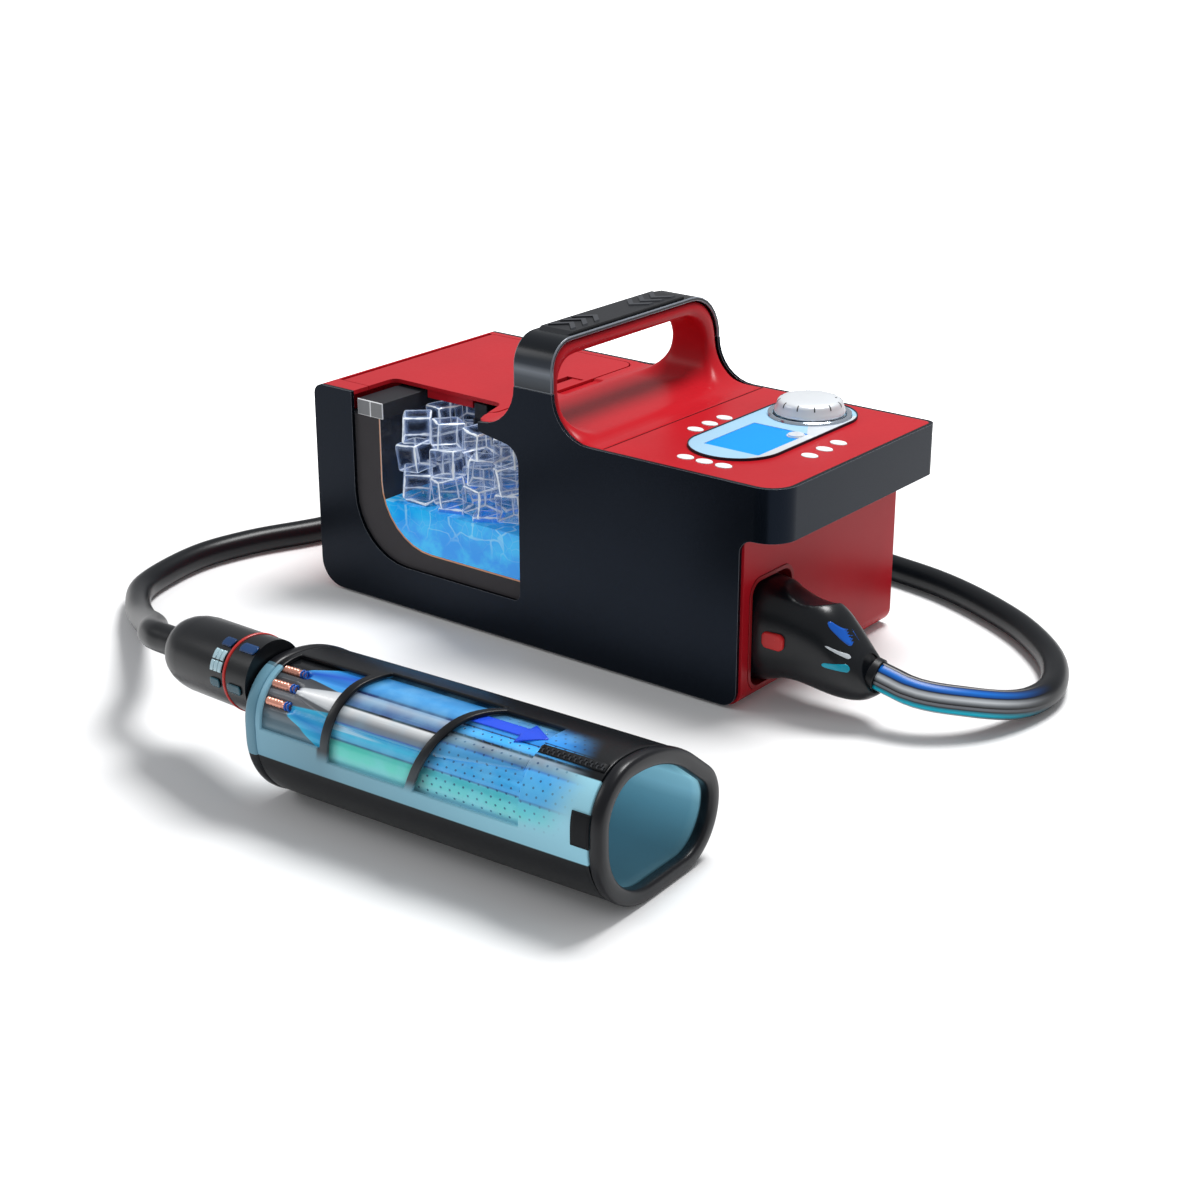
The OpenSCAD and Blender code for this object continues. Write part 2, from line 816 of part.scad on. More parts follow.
module insulation_foam() {
    outer = rounded([
        [foam_left, z_tray, 24], [foam_right, z_tray, 0], [foam_right, foam_ledge, 0],
        [rim_right, foam_ledge, 0], [rim_right, foam_top, 0], [foam_left, foam_top, 0]
    ]);
    color("#4a484c")
        difference() {
            plate_xz(outer, cut_y, foam_back);
            tank_space(0);
            open_ceiling();
            rod([tank_right - 1, pump_y, tap_z], [1, 0, 0], foam_right - tank_right + 2, line_r + gap);
        }
}

// The hollow of the tank: full depth behind the cut, and closed by a front wall beside it
module tank_space(t) {
    plate_xz(tank_inner(t), tank_front + t, tank_back - t);
    intersection() {
        plate_xz(tank_inner(t), cut_y - 1, tank_front + t + 1);
        box(tank_left - 1, cut_right - t, cut_y - 1, tank_front + t + 1, 0, deck_h);
    }
}

// The cut goes through the tank's ceiling too, as far back as through the lid
module open_ceiling() {
    box(mouth_right - liner_t - 1, cut_right - liner_t, cut_y - 1, cut_back, ceiling - 8,
        foam_ledge + 1);
}

module tank_liner() {
    color("#c98a5a")
        difference() {
            intersection() {
                tank_space(0);
                box(tank_left - 1, tank_right + 1, cut_y, tank_back + 1, 0, foam_top);
            }
            tank_space(liner_t);
            open_ceiling();
        }
}

module tank_rim() {
    color("#77797d")
        difference() {
            box(x_cut + 3, rim_right, cut_y, foam_back - 6, foam_top, rim_top);
            box(mouth_left, mouth_right, cut_y - 1, tank_back - 4, foam_top - 1, rim_top + 1);
            box(mouth_left, rim_right + 1, cut_y - 1, cut_back, foam_top - 1, rim_top + 1);
        }
}

module coolant_water() {
    color("#1aa0f5", 0.7)
        difference() {
            intersection() {
                tank_space(liner_t + seam);
                box(tank_left, tank_right, cut_y, tank_back, 0, water_level);
            }
            for (c = ice_places)
                if (c.z - ice_edge < water_level)
                    ice_block(c, ice_edge / 2 + 0.25);
            filter_body(gap);
        }
}

module ice_block(c, half) {
    translate([c.x, c.y, c.z])
        rotate([0, 0, c[3]])
            cube(2 * half, center = true);
}

module ice_cubes() {
    color("#dff2ff", 0.6)
        for (c = ice_places)
            ice_block(c, ice_edge / 2);
}

module filter_body(grow) {
    translate([tank_right - 24, 40, tank_floor + liner_t])
        cylinder(h = filter_h + grow, r = filter_r + grow, $fn = 48);
}

module intake_filter() {
    color("#d9dcdf")
        filter_body(0);
}

/* Works behind the reservoir */

module water_pump() {
    color("#3a3f46")
        union() {
            box(pump_x - pump_r - 3, pump_x + pump_r + 3, pump_y - pump_r - 1, pump_y + pump_r + 1,
                pump_z, pump_z + pump_foot_t);
            translate([pump_x, pump_y, pump_z + pump_foot_t - eps])
                cylinder(h = pump_body_h, r = pump_r, $fn = 64);
            translate([pump_x, pump_y, pump_z + pump_foot_t + pump_body_h - 2 * eps])
                cylinder(h = pump_motor_h, r = pump_r - 6, $fn = 64);
        }
}

module air_pump() {
    color("#54585e")
        union() {
            box(pump_x - air_half_l, pump_x + air_half_l, air_y - air_half_w, air_y + air_half_w,
                pump_z, pump_z + air_h);
            translate([pump_x - 10, air_y, pump_z + air_h - eps])
                cylinder(h = air_motor_h, r = air_motor_r, $fn = 64);
            translate([pump_x + 20, air_y, pump_z + air_h - eps])
                cylinder(h = 8, r = 4, $fn = 32);
        }
}

module valve_manifold() {
    color("#8b9096")
        union() {
            box(manifold_x - 12, manifold_x + 18 - gap, plug_y - 18, plug_y + 18,
                z_tray, plug_top - 6);
            for (k = [-1:1])
                rod([manifold_x, plug_y + 18 - eps, plug_z + k * tube_pitch], [0, 1, 0], 20, 8);
        }
}

// Water from the tank's tap through the foam to the pump, on to the manifold, and the air line
module coolant_lines() {
    air_line_y = air_y - 10;
    color("#2f7fd0")
        union() {
            rod([tank_right + gap, pump_y, tap_z], [1, 0, 0], tap_x - tank_right - gap, line_r);
            rod([tap_x, pump_y, tap_z + line_r], [0, 0, -1], tap_z - pump_port_z + 2 * line_r, line_r);
            rod([tap_x, pump_y, pump_port_z], [1, 0, 0], pump_x - pump_r - tap_x - gap, line_r);
            rod([pump_x + pump_r + gap, pump_y, pump_port_z], [1, 0, 0],
                manifold_x - 12 - pump_x - pump_r - 2 * gap, line_r);
            rod([pump_x + air_half_l + gap, air_line_y, air_port_z], [1, 0, 0],
                manifold_x - pump_x - air_half_l - gap, line_r);
            rod([manifold_x, air_line_y + line_r, air_port_z], [0, -1, 0],
                air_line_y + line_r - plug_y - 18 - gap, line_r);
        }
}

module main_board() {
    color("#1f6b3a")
        union() {
            difference() {
                slab(box_outline(x_seam + 8, x_head - wall - 5, -y_in + 8, y_in - 8, 6),
                    board_z, board_z + board_t);
                for (y = [-post_y, post_y])
                    translate([post_x, y, board_z - 1])
                        cylinder(h = board_t + 2, r = spigot_r + running, $fn = 32);
            }
            for (p = button_places)
                translate([p.x, p.y, board_z + board_t - eps])
                    cylinder(h = dome_h, r = 3, $fn = 32);
            for (y = [24, 38, 52])
                box(x_seam + 14, x_seam + 32, y - 4, y + 4, board_z - 4, board_z + eps);
        }
}

/* Control panel */

panel_outline = rounded([
    [x_seam + seam, -y_in + seam, 0],
    [x_head - wall - seam, -y_in + seam, head_corner_r - wall - seam],
    [x_head - wall - seam, y_in - seam, head_back_r - wall - seam],
    [x_seam + seam, y_in - seam, 0]
]);
function pill(grow) = rounded([
    [bezel_x - bezel_w / 2 - grow, bezel_y - bezel_l / 2 - grow, bezel_w / 2 + grow - 0.1],
    [bezel_x + bezel_w / 2 + grow, bezel_y - bezel_l / 2 - grow, bezel_w / 2 + grow - 0.1],
    [bezel_x + bezel_w / 2 + grow, bezel_y + bezel_l / 2 + grow, bezel_w / 2 + grow - 0.1],
    [bezel_x - bezel_w / 2 - grow, bezel_y + bezel_l / 2 + grow, bezel_w / 2 + grow - 0.1]
], 16);

module control_panel() {
    color("#b0202a")
        union() {
            difference() {
                slab(panel_outline, z_under, deck_h);
                slab(pill(seam), recess_z, deck_h + 1);
                translate([bezel_x, knob_y, z_under - 1])
                    cylinder(h = 6, r = shaft_r + 1, $fn = 48);
                for (p = button_places)
                    translate([p.x, p.y, z_under - 1])
                        linear_extrude(wall + 2)
                            polygon(ellipse(button_a + seam, button_b + seam));
            }
            for (y = [-post_y, post_y])
                panel_post(y);
        }
}

// A post that the board hangs from, with a spigot through the board
module panel_post(y) {
    translate([post_x, y, board_z + board_t])
        cylinder(h = z_under - board_z - board_t + eps, r = post_r, $fn = 32);
    translate([post_x, y, board_z - 1])
        cylinder(h = board_t + 1 + eps, r = spigot_r, $fn = 32);
}

module screen_outline(grow) {
    difference() {
        polygon(box_outline(screen_x - screen_w / 2 - grow, screen_x + screen_w / 2 + grow,
            screen_y - screen_l / 2 - grow, screen_y + screen_l / 2 + grow, 1));
        translate([lens_x, lens_y])
            circle(r = lens_r + 1.2 - grow, $fn = 48);
    }
}

module display_bezel() {
    color("#a9d3ec")
        union() {
            difference() {
                slab(pill(0), recess_z, bezel_top);
                translate([0, 0, recess_z - 1])
                    linear_extrude(bezel_top - recess_z + 2)
                        screen_outline(seam);
                translate([bezel_x, knob_y, recess_z - 1])
                    cylinder(h = 6, r = shaft_r + 1, $fn = 48);
            }
            translate([lens_x, lens_y, bezel_top - eps])
                cylinder(h = 1, r = lens_r, $fn = 48);
        }
}

module lcd_screen() {
    color("#0a8ff0")
        translate([0, 0, recess_z])
            linear_extrude(bezel_top - recess_z - 0.3)
                screen_outline(0);
}

module knob_ring() {
    color("silver")
        translate([bezel_x, knob_y, bezel_top])
            difference() {
                cylinder(h = 2.2, r = knob_r + 5, $fn = 96);
                translate([0, 0, -1])
                    cylinder(h = 5, r = knob_r + 1, $fn = 96);
            }
}

module dial_encoder() {
    color("#5b6067")
        translate([bezel_x, knob_y, board_z + board_t])
            difference() {
                translate([-8, -8, 0])
                    cube([16, 16, encoder_h]);
                translate([0, 0, 1])
                    cylinder(h = encoder_h, r = plunger_r + running, $fn = 48);
            }
}

module dial_plunger() {
    color("#c8ccd0")
        translate([bezel_x, knob_y, plunger_z])
            cylinder(h = plunger_h, r = plunger_r, $fn = 48);
}

module dial_shaft() {
    color("silver")
        translate([bezel_x, knob_y, plunger_z + plunger_h + running])
            cylinder(h = knob_z + knob_h - 6 - plunger_z - plunger_h - running, r = shaft_r, $fn = 48);
}

module dial_knob() {
    color("#d7dade")
        translate([bezel_x, knob_y, knob_z])
            difference() {
                rotate_extrude($fn = 96)
                    polygon([
                        [0, 0], [knob_r, 0], [knob_r, knob_h * 0.28], [knob_r - 1.5, knob_h * 0.5],
                        [knob_r - 3, knob_h * 0.82], [knob_r - 5, knob_h * 0.94],
                        [knob_r - 8, knob_h], [0, knob_h]
                    ]);
                translate([0, 0, -1])
                    cylinder(h = knob_h - 5 + 1, r = shaft_r + running, $fn = 48);
            }
}

module button(n) {
    p = button_places[n - 1];
    color("white")
        translate([p.x, p.y, 0])
            union() {
                translate([0, 0, flange_z - eps])
                    linear_extrude(deck_h + 0.5 - flange_z)
                        polygon(ellipse(button_a, button_b));
                translate([0, 0, flange_z - flange_t])
                    linear_extrude(flange_t)
                        polygon(ellipse(button_a + flange_w, button_b + flange_w));
            }
}

/* Power inlet, socket, plug and hose */

module power_inlet() {
    color("#202226")
        translate([inlet_x, y_out, inlet_z])
            rotate([90, 0, 0])
                difference() {
                    union() {
                        cylinder(h = inlet_l, r = inlet_r, $fn = 64);
                        translate([0, 0, wall])
                            cylinder(h = 2, r = inlet_r + 3, $fn = 64);
                    }
                    translate([0, 0, -1])
                        cylinder(h = inlet_depth + 1, r = inlet_bore_r, $fn = 64);
                }
}

module hose_socket() {
    back = x_wall - wall - socket_l + 2;
    color("#c8402a")
        difference() {
            union() {
                plate_yz(seat_outline(socket_wall), back, x_wall + 0.6);
                intersection() {
                    plate_yz(seat_outline(socket_wall + socket_flange), x_wall - wall - 2, x_wall - wall);
                    box(back, x_wall, -y_in, y_in, z_tray + wall_corner_r, z_band);
                }
            }
            plate_yz(seat_outline(seam), x_wall - plug_depth - gap, x_wall + 2);
            for (k = [-1:1])
                rod([back - 1, plug_y, plug_z + k * tube_pitch], [1, 0, 0], 40, line_r);
        }
}

plug_side = rounded([
    [x_wall - plug_depth, plug_low, 0], [x_wall + 6, plug_low, 6], [x_wall + 24, plug_low + 6, 14],
    [x_wall + 60, plug_low + 2, 12], [nose_tip.x + 10, plug_low + 10, 8],
    [nose_tip.x + 10, plug_z + 1, 8], [x_wall + 60, plug_top - 13, 18],
    [x_wall + 28, plug_top - 6.5, 20], [x_wall + 8, plug_top, 6], [x_wall - plug_depth, plug_top, 0]
]);
plug_plan = rounded([
    [x_wall - plug_depth, plug_y - plug_w / 2, 0], [x_wall + 30, plug_y - plug_w / 2, 20],
    [nose_tip.x + 14, plug_y - 15, 10], [nose_tip.x + 14, plug_y + 19, 10],
    [x_wall + 30, plug_y + plug_w / 2, 20], [x_wall - plug_depth, plug_y + plug_w / 2, 0]
]);

module plug_shell() {
    color("#14181f")
        difference() {
            intersection() {
                plate_xz(plug_side, plug_y - plug_w / 2, plug_y + plug_w / 2);
                slab(plug_plan, plug_low - 1, plug_top + 1);
                plate_yz(seat_outline(0), x_wall - plug_depth, nose_tip.x + 20);
            }
            translate(nose_tip)
                rotate([0, acos(plug_dir.z), atan2(plug_dir.y, plug_dir.x)])
                    translate([-80, -80, 0])
                        cube([160, 160, 60]);
            for (k = [-1:1])
                rod([x_wall - plug_depth - 1, plug_y, plug_z + k * tube_pitch], [1, 0, 0],
                    tube_l + 1, line_r + seam);
            release_pocket();
        }
}

module plug_tubes() {
    color("#1769d6")
        for (k = [-1:1])
            rod([x_wall - plug_depth + gap, plug_y, plug_z + k * tube_pitch], [1, 0, 0], tube_l - 1, line_r);
}

module release_pocket() {
    translate([release_x, plug_y - plug_w / 2 + release_depth, release_z])
        rotate([90, 0, 0])
            linear_extrude(release_depth + 1)
                polygon(box_outline(-release_a - gap, release_a + gap, -release_b - gap,
                    release_b + gap, 4));
}

module release_button() {
    travel = release_travel + 0.4;
    color("#d43a36")
        translate([release_x, plug_y - plug_w / 2 + release_depth - travel, release_z])
            rotate([90, 0, 0])
                linear_extrude(release_depth - travel + 0.8)
                    polygon(box_outline(-release_a, release_a, -release_b, release_b, 4));
}

module plug_boot() {
    color("#1a1d22")
        rod(nose_tip, plug_dir, boot_l - gap, hose_d / 2 + 1.5);
}

module hose() {
    color("#17191d")
        sweep(smooth(hose_route, hose_steps), hose_d / 2, hose_sides);
}

/* Wrap */

// Runs its children in the wrap's own frame, with X along the sleeve
module in_wrap() {
    translate([wrap_x, wrap_y, 0])
        rotate([0, 0, wrap_yaw])
            children();
}

// Section of the sleeve as it sags on the floor
module wrap_section(inset) {
    half = wrap_w / 2;
    offset(delta = -inset)
        polygon(rounded([
            [-half, 0, 50], [half, 0, 36], [half, 50, 18], [8, wrap_h, 55],
            [-half, wrap_h, shoulder_r]
        ]));
}

module wrap_layer(from, to, x0, x1) {
    translate([x0, 0, 0])
        rotate([90, 0, 90])
            linear_extrude(x1 - x0)
                difference() {
                    wrap_section(from);
                    wrap_section(to);
                }
}

// A window in the outer fabric that shows the bladders
module fabric_window(w) {
    box(w[0], w[1], -wrap_w / 2 - 1, w[2], w[3], wrap_h + 1);
}

// Runs its children on the wrap's shoulder, with Z outward at a turn from level and a radius
module on_shoulder(turn, r) {
    translate([0, shoulder_y, shoulder_z])
        rotate([turn - 90, 0, 0])
            translate([0, 0, r])
                children();
}

module wrap_fabric() {
    color("#15171b")
        in_wrap()
            difference() {
                wrap_layer(0, fabric_t, binding_w, wrap_l - binding_w);
                for (w = windows)
                    fabric_window(w);
            }
}

module wrap_bladder() {
    color("#3aa7e0")
        in_wrap()
            difference() {
                wrap_layer(bladder_in, bladder_in + bladder_t, binding_w, wrap_l - binding_w);
                air_pocket(0);
                barb_space();
            }
}

// The clear air bladder's place in the bladder layer
module air_pocket(shrink) {
    on_shoulder(air_turn, shoulder_r - bladder_in - bladder_t - 2)
        box(air_start + shrink, air_start + air_l - shrink, shrink - air_w / 2,
            air_w / 2 - shrink, 0, bladder_t + 4);
}

module air_bladder() {
    color("#c9d3da", 0.7)
        in_wrap()
            intersection() {
                wrap_layer(bladder_in, bladder_in + bladder_t, binding_w, wrap_l - binding_w);
                air_pocket(gap);
            }
}

module wrap_lining() {
    color("#6fb3c4")
        in_wrap()
            wrap_layer(lining_in, lining_end, binding_w, wrap_l - binding_w);
}

module wrap_binding() {
    color("#1c1d21")
        in_wrap() {
            wrap_layer(0, lining_end, 0, binding_w);
            wrap_layer(0, lining_end, wrap_l - binding_w, wrap_l);
        }
}

module wrap_zipper() {
    color("#0d0e10")
        in_wrap()
            on_shoulder(zip_turn, shoulder_r + seam)
                for (k = [0:zip_teeth - 1])
                    translate([zip_start + k * zip_pitch, -zip_w / 2, 0])
                        cube([zip_pitch * 0.65, zip_w, 1]);
}

// Connector between the hose and the wrap, cut square to the wrap's end
module along_connector(s) {
    translate(hose_last)
        rotate([0, acos(connector_dir.z), atan2(connector_dir.y, connector_dir.x)])
            translate([0, 0, s])
                children();
}

module past_wrap_end() {
    in_wrap()
        translate([0, -200, -100])
            cube([200, 400, 400]);
}

module connector_shell() {
    r = connector_r;
    color("#16191e")
        difference() {
            along_connector(0)
                rotate_extrude($fn = 64)
                    polygon([
                        [0, 0], [hose_d / 2 + 3, 0], [r - 6, 8], [r - 1.5, 20], [r, 32],
                        [r, ring_s], [r - 1.5, ring_s], [r - 1.5, ring_s + ring_w],
                        [r, ring_s + ring_w], [r, connector_l], [0, connector_l]
                    ]);
            for (k = [-1:1])
                along_connector(bore_start)
                    translate([k * bore_pitch, 0, 0])
                        cylinder(h = connector_l, r = bore_r + seam, $fn = 32);
            past_wrap_end();
        }
}

module connector_ring() {
    r = connector_r;
    color("#d2242c")
        along_connector(ring_s)
            difference() {
                cylinder(h = ring_w, r = r + 0.6, $fn = 96);
                translate([0, 0, -1])
                    cylinder(h = ring_w + 2, r = r - 1.5, $fn = 96);
            }
}

module connector_tubes() {
    color("#2f9fe0")
        for (k = [-1:1])
            along_connector(bore_start + gap)
                translate([k * bore_pitch, 0, 0])
                    cylinder(h = 60, r = bore_r, $fn = 32);
}

module barb(turn, start, length, r) {
    on_shoulder(turn, shoulder_r - bladder_in - bladder_t / 2)
        translate([start, 0, 0])
            rotate([0, 90, 0])
                cylinder(h = length, r = r, $fn = 32);
}

module barb_space() {
    for (turn = barb_turns)
        barb(turn, binding_w - 1, barb_l + 2, barb_r + 1.2);
}

module barb_fittings() {
    color("#c98a5a")
        in_wrap()
            for (turn = barb_turns)
                barb(turn, binding_w + gap, barb_l, barb_r);
}

base_tray();
rubber_feet();
front_cover();
rear_cover();
tail_wall();
end_wall();
deck_shell();
handle_cover();
grip_pad();
control_panel();
insulation_foam();
tank_liner();
tank_rim();
coolant_water();
ice_cubes();
intake_filter();
water_pump();
air_pump();
valve_manifold();
coolant_lines();
main_board();
display_bezel();
lcd_screen();
knob_ring();
dial_encoder();
dial_plunger();
dial_shaft();
dial_knob();
button(1);  // button_1
button(2);  // button_2
button(3);  // button_3
button(4);  // button_4
button(5);  // button_5
button(6);  // button_6
button(7);  // button_7
button(8);  // button_8
button(9);  // button_9
lid();
lid_gasket();
hinge_pin();
lid_latch();
latch_spring();
power_inlet();
hose_socket();
plug_shell();
plug_tubes();
release_button();
plug_boot();
hose();
connector_shell();
connector_ring();
connector_tubes();
barb_fittings();
wrap_fabric();
wrap_bladder();
air_bladder();
wrap_lining();
wrap_binding();
wrap_zipper();
cover_screws();
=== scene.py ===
import math
import random

import bmesh
import bpy
import numpy as np
from mathutils import Matrix, Vector, noise


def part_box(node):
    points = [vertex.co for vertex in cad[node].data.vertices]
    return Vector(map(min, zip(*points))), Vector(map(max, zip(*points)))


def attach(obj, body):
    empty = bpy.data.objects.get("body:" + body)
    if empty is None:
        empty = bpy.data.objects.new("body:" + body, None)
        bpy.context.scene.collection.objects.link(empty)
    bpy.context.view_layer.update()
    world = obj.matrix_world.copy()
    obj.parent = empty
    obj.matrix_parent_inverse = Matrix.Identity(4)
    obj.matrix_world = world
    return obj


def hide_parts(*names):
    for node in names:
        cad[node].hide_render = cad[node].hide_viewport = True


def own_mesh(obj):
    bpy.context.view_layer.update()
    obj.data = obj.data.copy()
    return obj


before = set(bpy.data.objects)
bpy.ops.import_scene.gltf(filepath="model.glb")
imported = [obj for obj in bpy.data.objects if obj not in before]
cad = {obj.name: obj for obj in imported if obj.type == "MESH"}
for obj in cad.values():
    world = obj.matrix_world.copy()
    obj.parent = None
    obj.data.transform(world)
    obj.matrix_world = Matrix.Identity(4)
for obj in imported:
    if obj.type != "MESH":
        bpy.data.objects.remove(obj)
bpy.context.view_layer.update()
mm = 0.001

# ---- Camera, light and floor ----
# The camera looks down on the open front and the control head, as the photograph does.
# A white floor under a white sky, with one soft lamp behind and above that throws the
# shadows towards the viewer.
look_at = Vector((-18.6, 4.8, 0)) * mm
azimuth = math.radians(38.03)
elevation = math.radians(21.66)
back = Vector((math.sin(azimuth) * math.cos(elevation), -math.cos(azimuth) * math.cos(elevation),
               math.sin(elevation)))
lens = bpy.data.cameras.new("camera")
lens.lens = 64.5
lens.sensor_width = 36
lens.clip_start = 0.05
lens.clip_end = 30
camera = bpy.data.objects.new("camera", lens)
camera.location = look_at + back * 1.6131
camera.rotation_euler = (-back).to_track_quat("-Z", "Y").to_euler()
bpy.context.scene.collection.objects.link(camera)
bpy.context.scene.camera = camera
bpy.context.scene.view_settings.view_transform = "Standard"


def lamp(name, place, aim, size, power, colour=(1, 1, 1)):
    light = bpy.data.lights.new(name, "AREA")
    light.shape = "RECTANGLE"
    light.size, light.size_y = size
    light.energy = power
    light.color = colour
    holder = bpy.data.objects.new(name, light)
    holder.location = place
    holder.rotation_euler = (Vector(aim) - Vector(place)).to_track_quat("-Z", "Y").to_euler()
    bpy.context.scene.collection.objects.link(holder)


lamp("lamp_above", (0.25, 0.62, 2.1), (0, -0.05, 0), (0.9, 0.8), 50)
lamp("lamp_left", (-1.6, -1.2, 1.2), (0, -0.1, 0.1), (0.8, 0.8), 7)

sky = bpy.data.worlds.new("sky")
sky.use_nodes = True
bpy.context.scene.world = sky
tree = sky.node_tree
tree.nodes.clear()
seen = tree.nodes.new("ShaderNodeLightPath")
either = tree.nodes.new("ShaderNodeMath")
either.operation = "MAXIMUM"
plain = tree.nodes.new("ShaderNodeBackground")
plain.inputs["Color"].default_value = (0.95, 0.97, 1, 1)
plain.inputs["Strength"].default_value = 0.36
white = tree.nodes.new("ShaderNodeBackground")
white.inputs["Color"].default_value = (1, 1, 1, 1)
white.inputs["Strength"].default_value = 1.0
mix = tree.nodes.new("ShaderNodeMixShader")
out = tree.nodes.new("ShaderNodeOutputWorld")
tree.links.new(seen.outputs["Is Camera Ray"], either.inputs[0])
tree.links.new(seen.outputs["Is Transmission Ray"], either.inputs[1])
tree.links.new(either.outputs[0], mix.inputs["Fac"])
tree.links.new(plain.outputs[0], mix.inputs[1])
tree.links.new(white.outputs[0], mix.inputs[2])
tree.links.new(mix.outputs[0], out.inputs["Surface"])


def piece(name, mesh, *materials):
    """A finished piece in the scene, at the origin."""
    thing = bpy.data.objects.new(name, mesh)
    for material in materials:
        mesh.materials.append(material)
    bpy.context.scene.collection.objects.link(thing)
    return thing


def finish(name, colour, roughness, specular=0.5, metallic=0.0, coat=0.0, coat_roughness=0.1):
    """A plain moulded finish, to which a section adds its own grain or pattern."""
    material = bpy.data.materials.new(name)
    material.use_nodes = True
    shader = material.node_tree.nodes["Principled BSDF"]
    shader.inputs["Base Color"].default_value = (*colour, 1)
    shader.inputs["Roughness"].default_value = roughness
    shader.inputs["Specular IOR Level"].default_value = specular
    shader.inputs["Metallic"].default_value = metallic
    shader.inputs["Coat Weight"].default_value = coat
    shader.inputs["Coat Roughness"].default_value = coat_roughness
    return material


def add(material, kind, **values):
    """A node in a material; values are its settings or its sockets by name."""
    made = material.node_tree.nodes.new(kind)
    for key, value in values.items():
        if hasattr(made, key):
            setattr(made, key, value)
        else:
            made.inputs[key.replace("_", " ")].default_value = value
    return made


def join(material, source, target):
    material.node_tree.links.new(source, target)


def shader_of(material):
    return material.node_tree.nodes["Principled BSDF"]


def speckle(material, scale, strength, spread=0.12, depth=0.02, detail=4.0):
    """Fine moulding grain in the surface, and a slow drift in colour and gloss."""
    place = add(material, "ShaderNodeTexCoord")
    grain = add(material, "ShaderNodeTexNoise", Scale=scale, Detail=detail)
    bump = add(material, "ShaderNodeBump", Strength=strength, Distance=depth * mm)
    join(material, place.outputs["Object"], grain.inputs["Vector"])
    join(material, grain.outputs["Fac"], bump.inputs["Height"])
    join(material, bump.outputs["Normal"], shader_of(material).inputs["Normal"])
    drift = add(material, "ShaderNodeTexNoise", Scale=14.0, Detail=2.0)
    join(material, place.outputs["Object"], drift.inputs["Vector"])
    base = shader_of(material).inputs["Base Color"].default_value[:3]
    ramp = add(material, "ShaderNodeValToRGB")
    ramp.color_ramp.elements[0].position = 0.3
    ramp.color_ramp.elements[1].position = 0.7
    ramp.color_ramp.elements[0].color = (*[c * (1 - spread) for c in base], 1)
    ramp.color_ramp.elements[1].color = (*[min(1, c * (1 + spread)) for c in base], 1)
    join(material, drift.outputs["Fac"], ramp.inputs["Fac"])
    join(material, ramp.outputs["Color"], shader_of(material).inputs["Base Color"])
    gloss = add(material, "ShaderNodeMapRange")
    rough = shader_of(material).inputs["Roughness"].default_value
    gloss.inputs["To Min"].default_value = rough * 0.9
    gloss.inputs["To Max"].default_value = min(1, rough * 1.12)
    join(material, grain.outputs["Fac"], gloss.inputs["Value"])
    join(material, gloss.outputs["Result"], shader_of(material).inputs["Roughness"])


# The camera sees the floor a little brighter near the object, and pure white away from it
floor_finish = finish("studio floor", (0.93, 0.93, 0.93), 0.9, specular=0.0)
speckle(floor_finish, 300, 0.02, spread=0.003)
floor_at = add(floor_finish, "ShaderNodeTexCoord")
floor_reach = add(floor_finish, "ShaderNodeVectorMath", operation="DISTANCE")
floor_reach.inputs[1].default_value = (0.0, -0.1, 0.0)
join(floor_finish, floor_at.outputs["Object"], floor_reach.inputs[0])
floor_far = add(floor_finish, "ShaderNodeMapRange", interpolation_type="SMOOTHSTEP")
floor_far.inputs["From Min"].default_value = 0.36
floor_far.inputs["From Max"].default_value = 0.7
floor_far.inputs["To Min"].default_value = 0.03
floor_far.inputs["To Max"].default_value = 1.0
join(floor_finish, floor_reach.outputs["Value"], floor_far.inputs["Value"])
floor_seen = add(floor_finish, "ShaderNodeLightPath")
floor_lift = add(floor_finish, "ShaderNodeMath", operation="MULTIPLY")
join(floor_finish, floor_far.outputs["Result"], floor_lift.inputs[0])
join(floor_finish, floor_seen.outputs["Is Camera Ray"], floor_lift.inputs[1])
shader_of(floor_finish).inputs["Emission Color"].default_value = (1, 1, 1, 1)
join(floor_finish, floor_lift.outputs[0], shader_of(floor_finish).inputs["Emission Strength"])
floor_mesh = bpy.data.meshes.new("floor")
floor_mesh.from_pydata([(-6, -6, 0), (6, -6, 0), (6, 6, 0), (-6, 6, 0)], [], [(0, 1, 2, 3)])
floor = piece("floor", floor_mesh, floor_finish)

# ---- Hose ----
# Three tubes for cold water out, air, and water back, drawn into one soft black sleeve.
# It leaves the plug's nose, lies round the back of the machine and rises to the wrap.
hose_points = [
    (262, -60, 36), (272, -59, 33.5), (282, -58, 31), (314, -37, 24), (333, 6, 13), (334, 40, 10.5),
    (322, 72, 10.5), (280, 118, 10.5), (232, 147, 10.5), (180, 167, 10.5), (135, 175, 10.5),
    (60, 182, 10.5), (-40, 180, 10.5), (-140, 158, 10.5), (-216, 112, 10.5), (-256, 30, 10.5),
    (-275, -35, 10.5), (-297, -90, 10.5), (-304, -130, 10.5), (-299, -170, 10.5),
    (-284, -210, 11), (-258, -236, 14), (-218, -265, 22), (-160, -303, 42), (-105, -345, 63),
    (-91, -347.5, 64.5), (-77, -350, 66)
]


def smooth_route(points, steps):
    """A smooth curve through the route's points, whatever their distances."""
    p = [Vector(q) * mm for q in points]
    span = [(b - a).length for a, b in zip(p, p[1:])]
    slope = [(b - a) / d for a, b, d in zip(p, p[1:], span)]
    way = [slope[0]]
    for i in range(1, len(p) - 1):
        before, after = span[i - 1], span[i]
        way.append((slope[i - 1] * after + slope[i] * before) / (before + after))
    way.append(slope[-1])
    line = []
    for i, d in enumerate(span):
        for k in range(steps):
            t = k / steps
            line.append((2 * t**3 - 3 * t**2 + 1) * p[i] + (t**3 - 2 * t**2 + t) * d * way[i]
                        + (3 * t**2 - 2 * t**3) * p[i + 1] + (t**3 - t**2) * d * way[i + 1])
    line.append(p[-1])
    return line


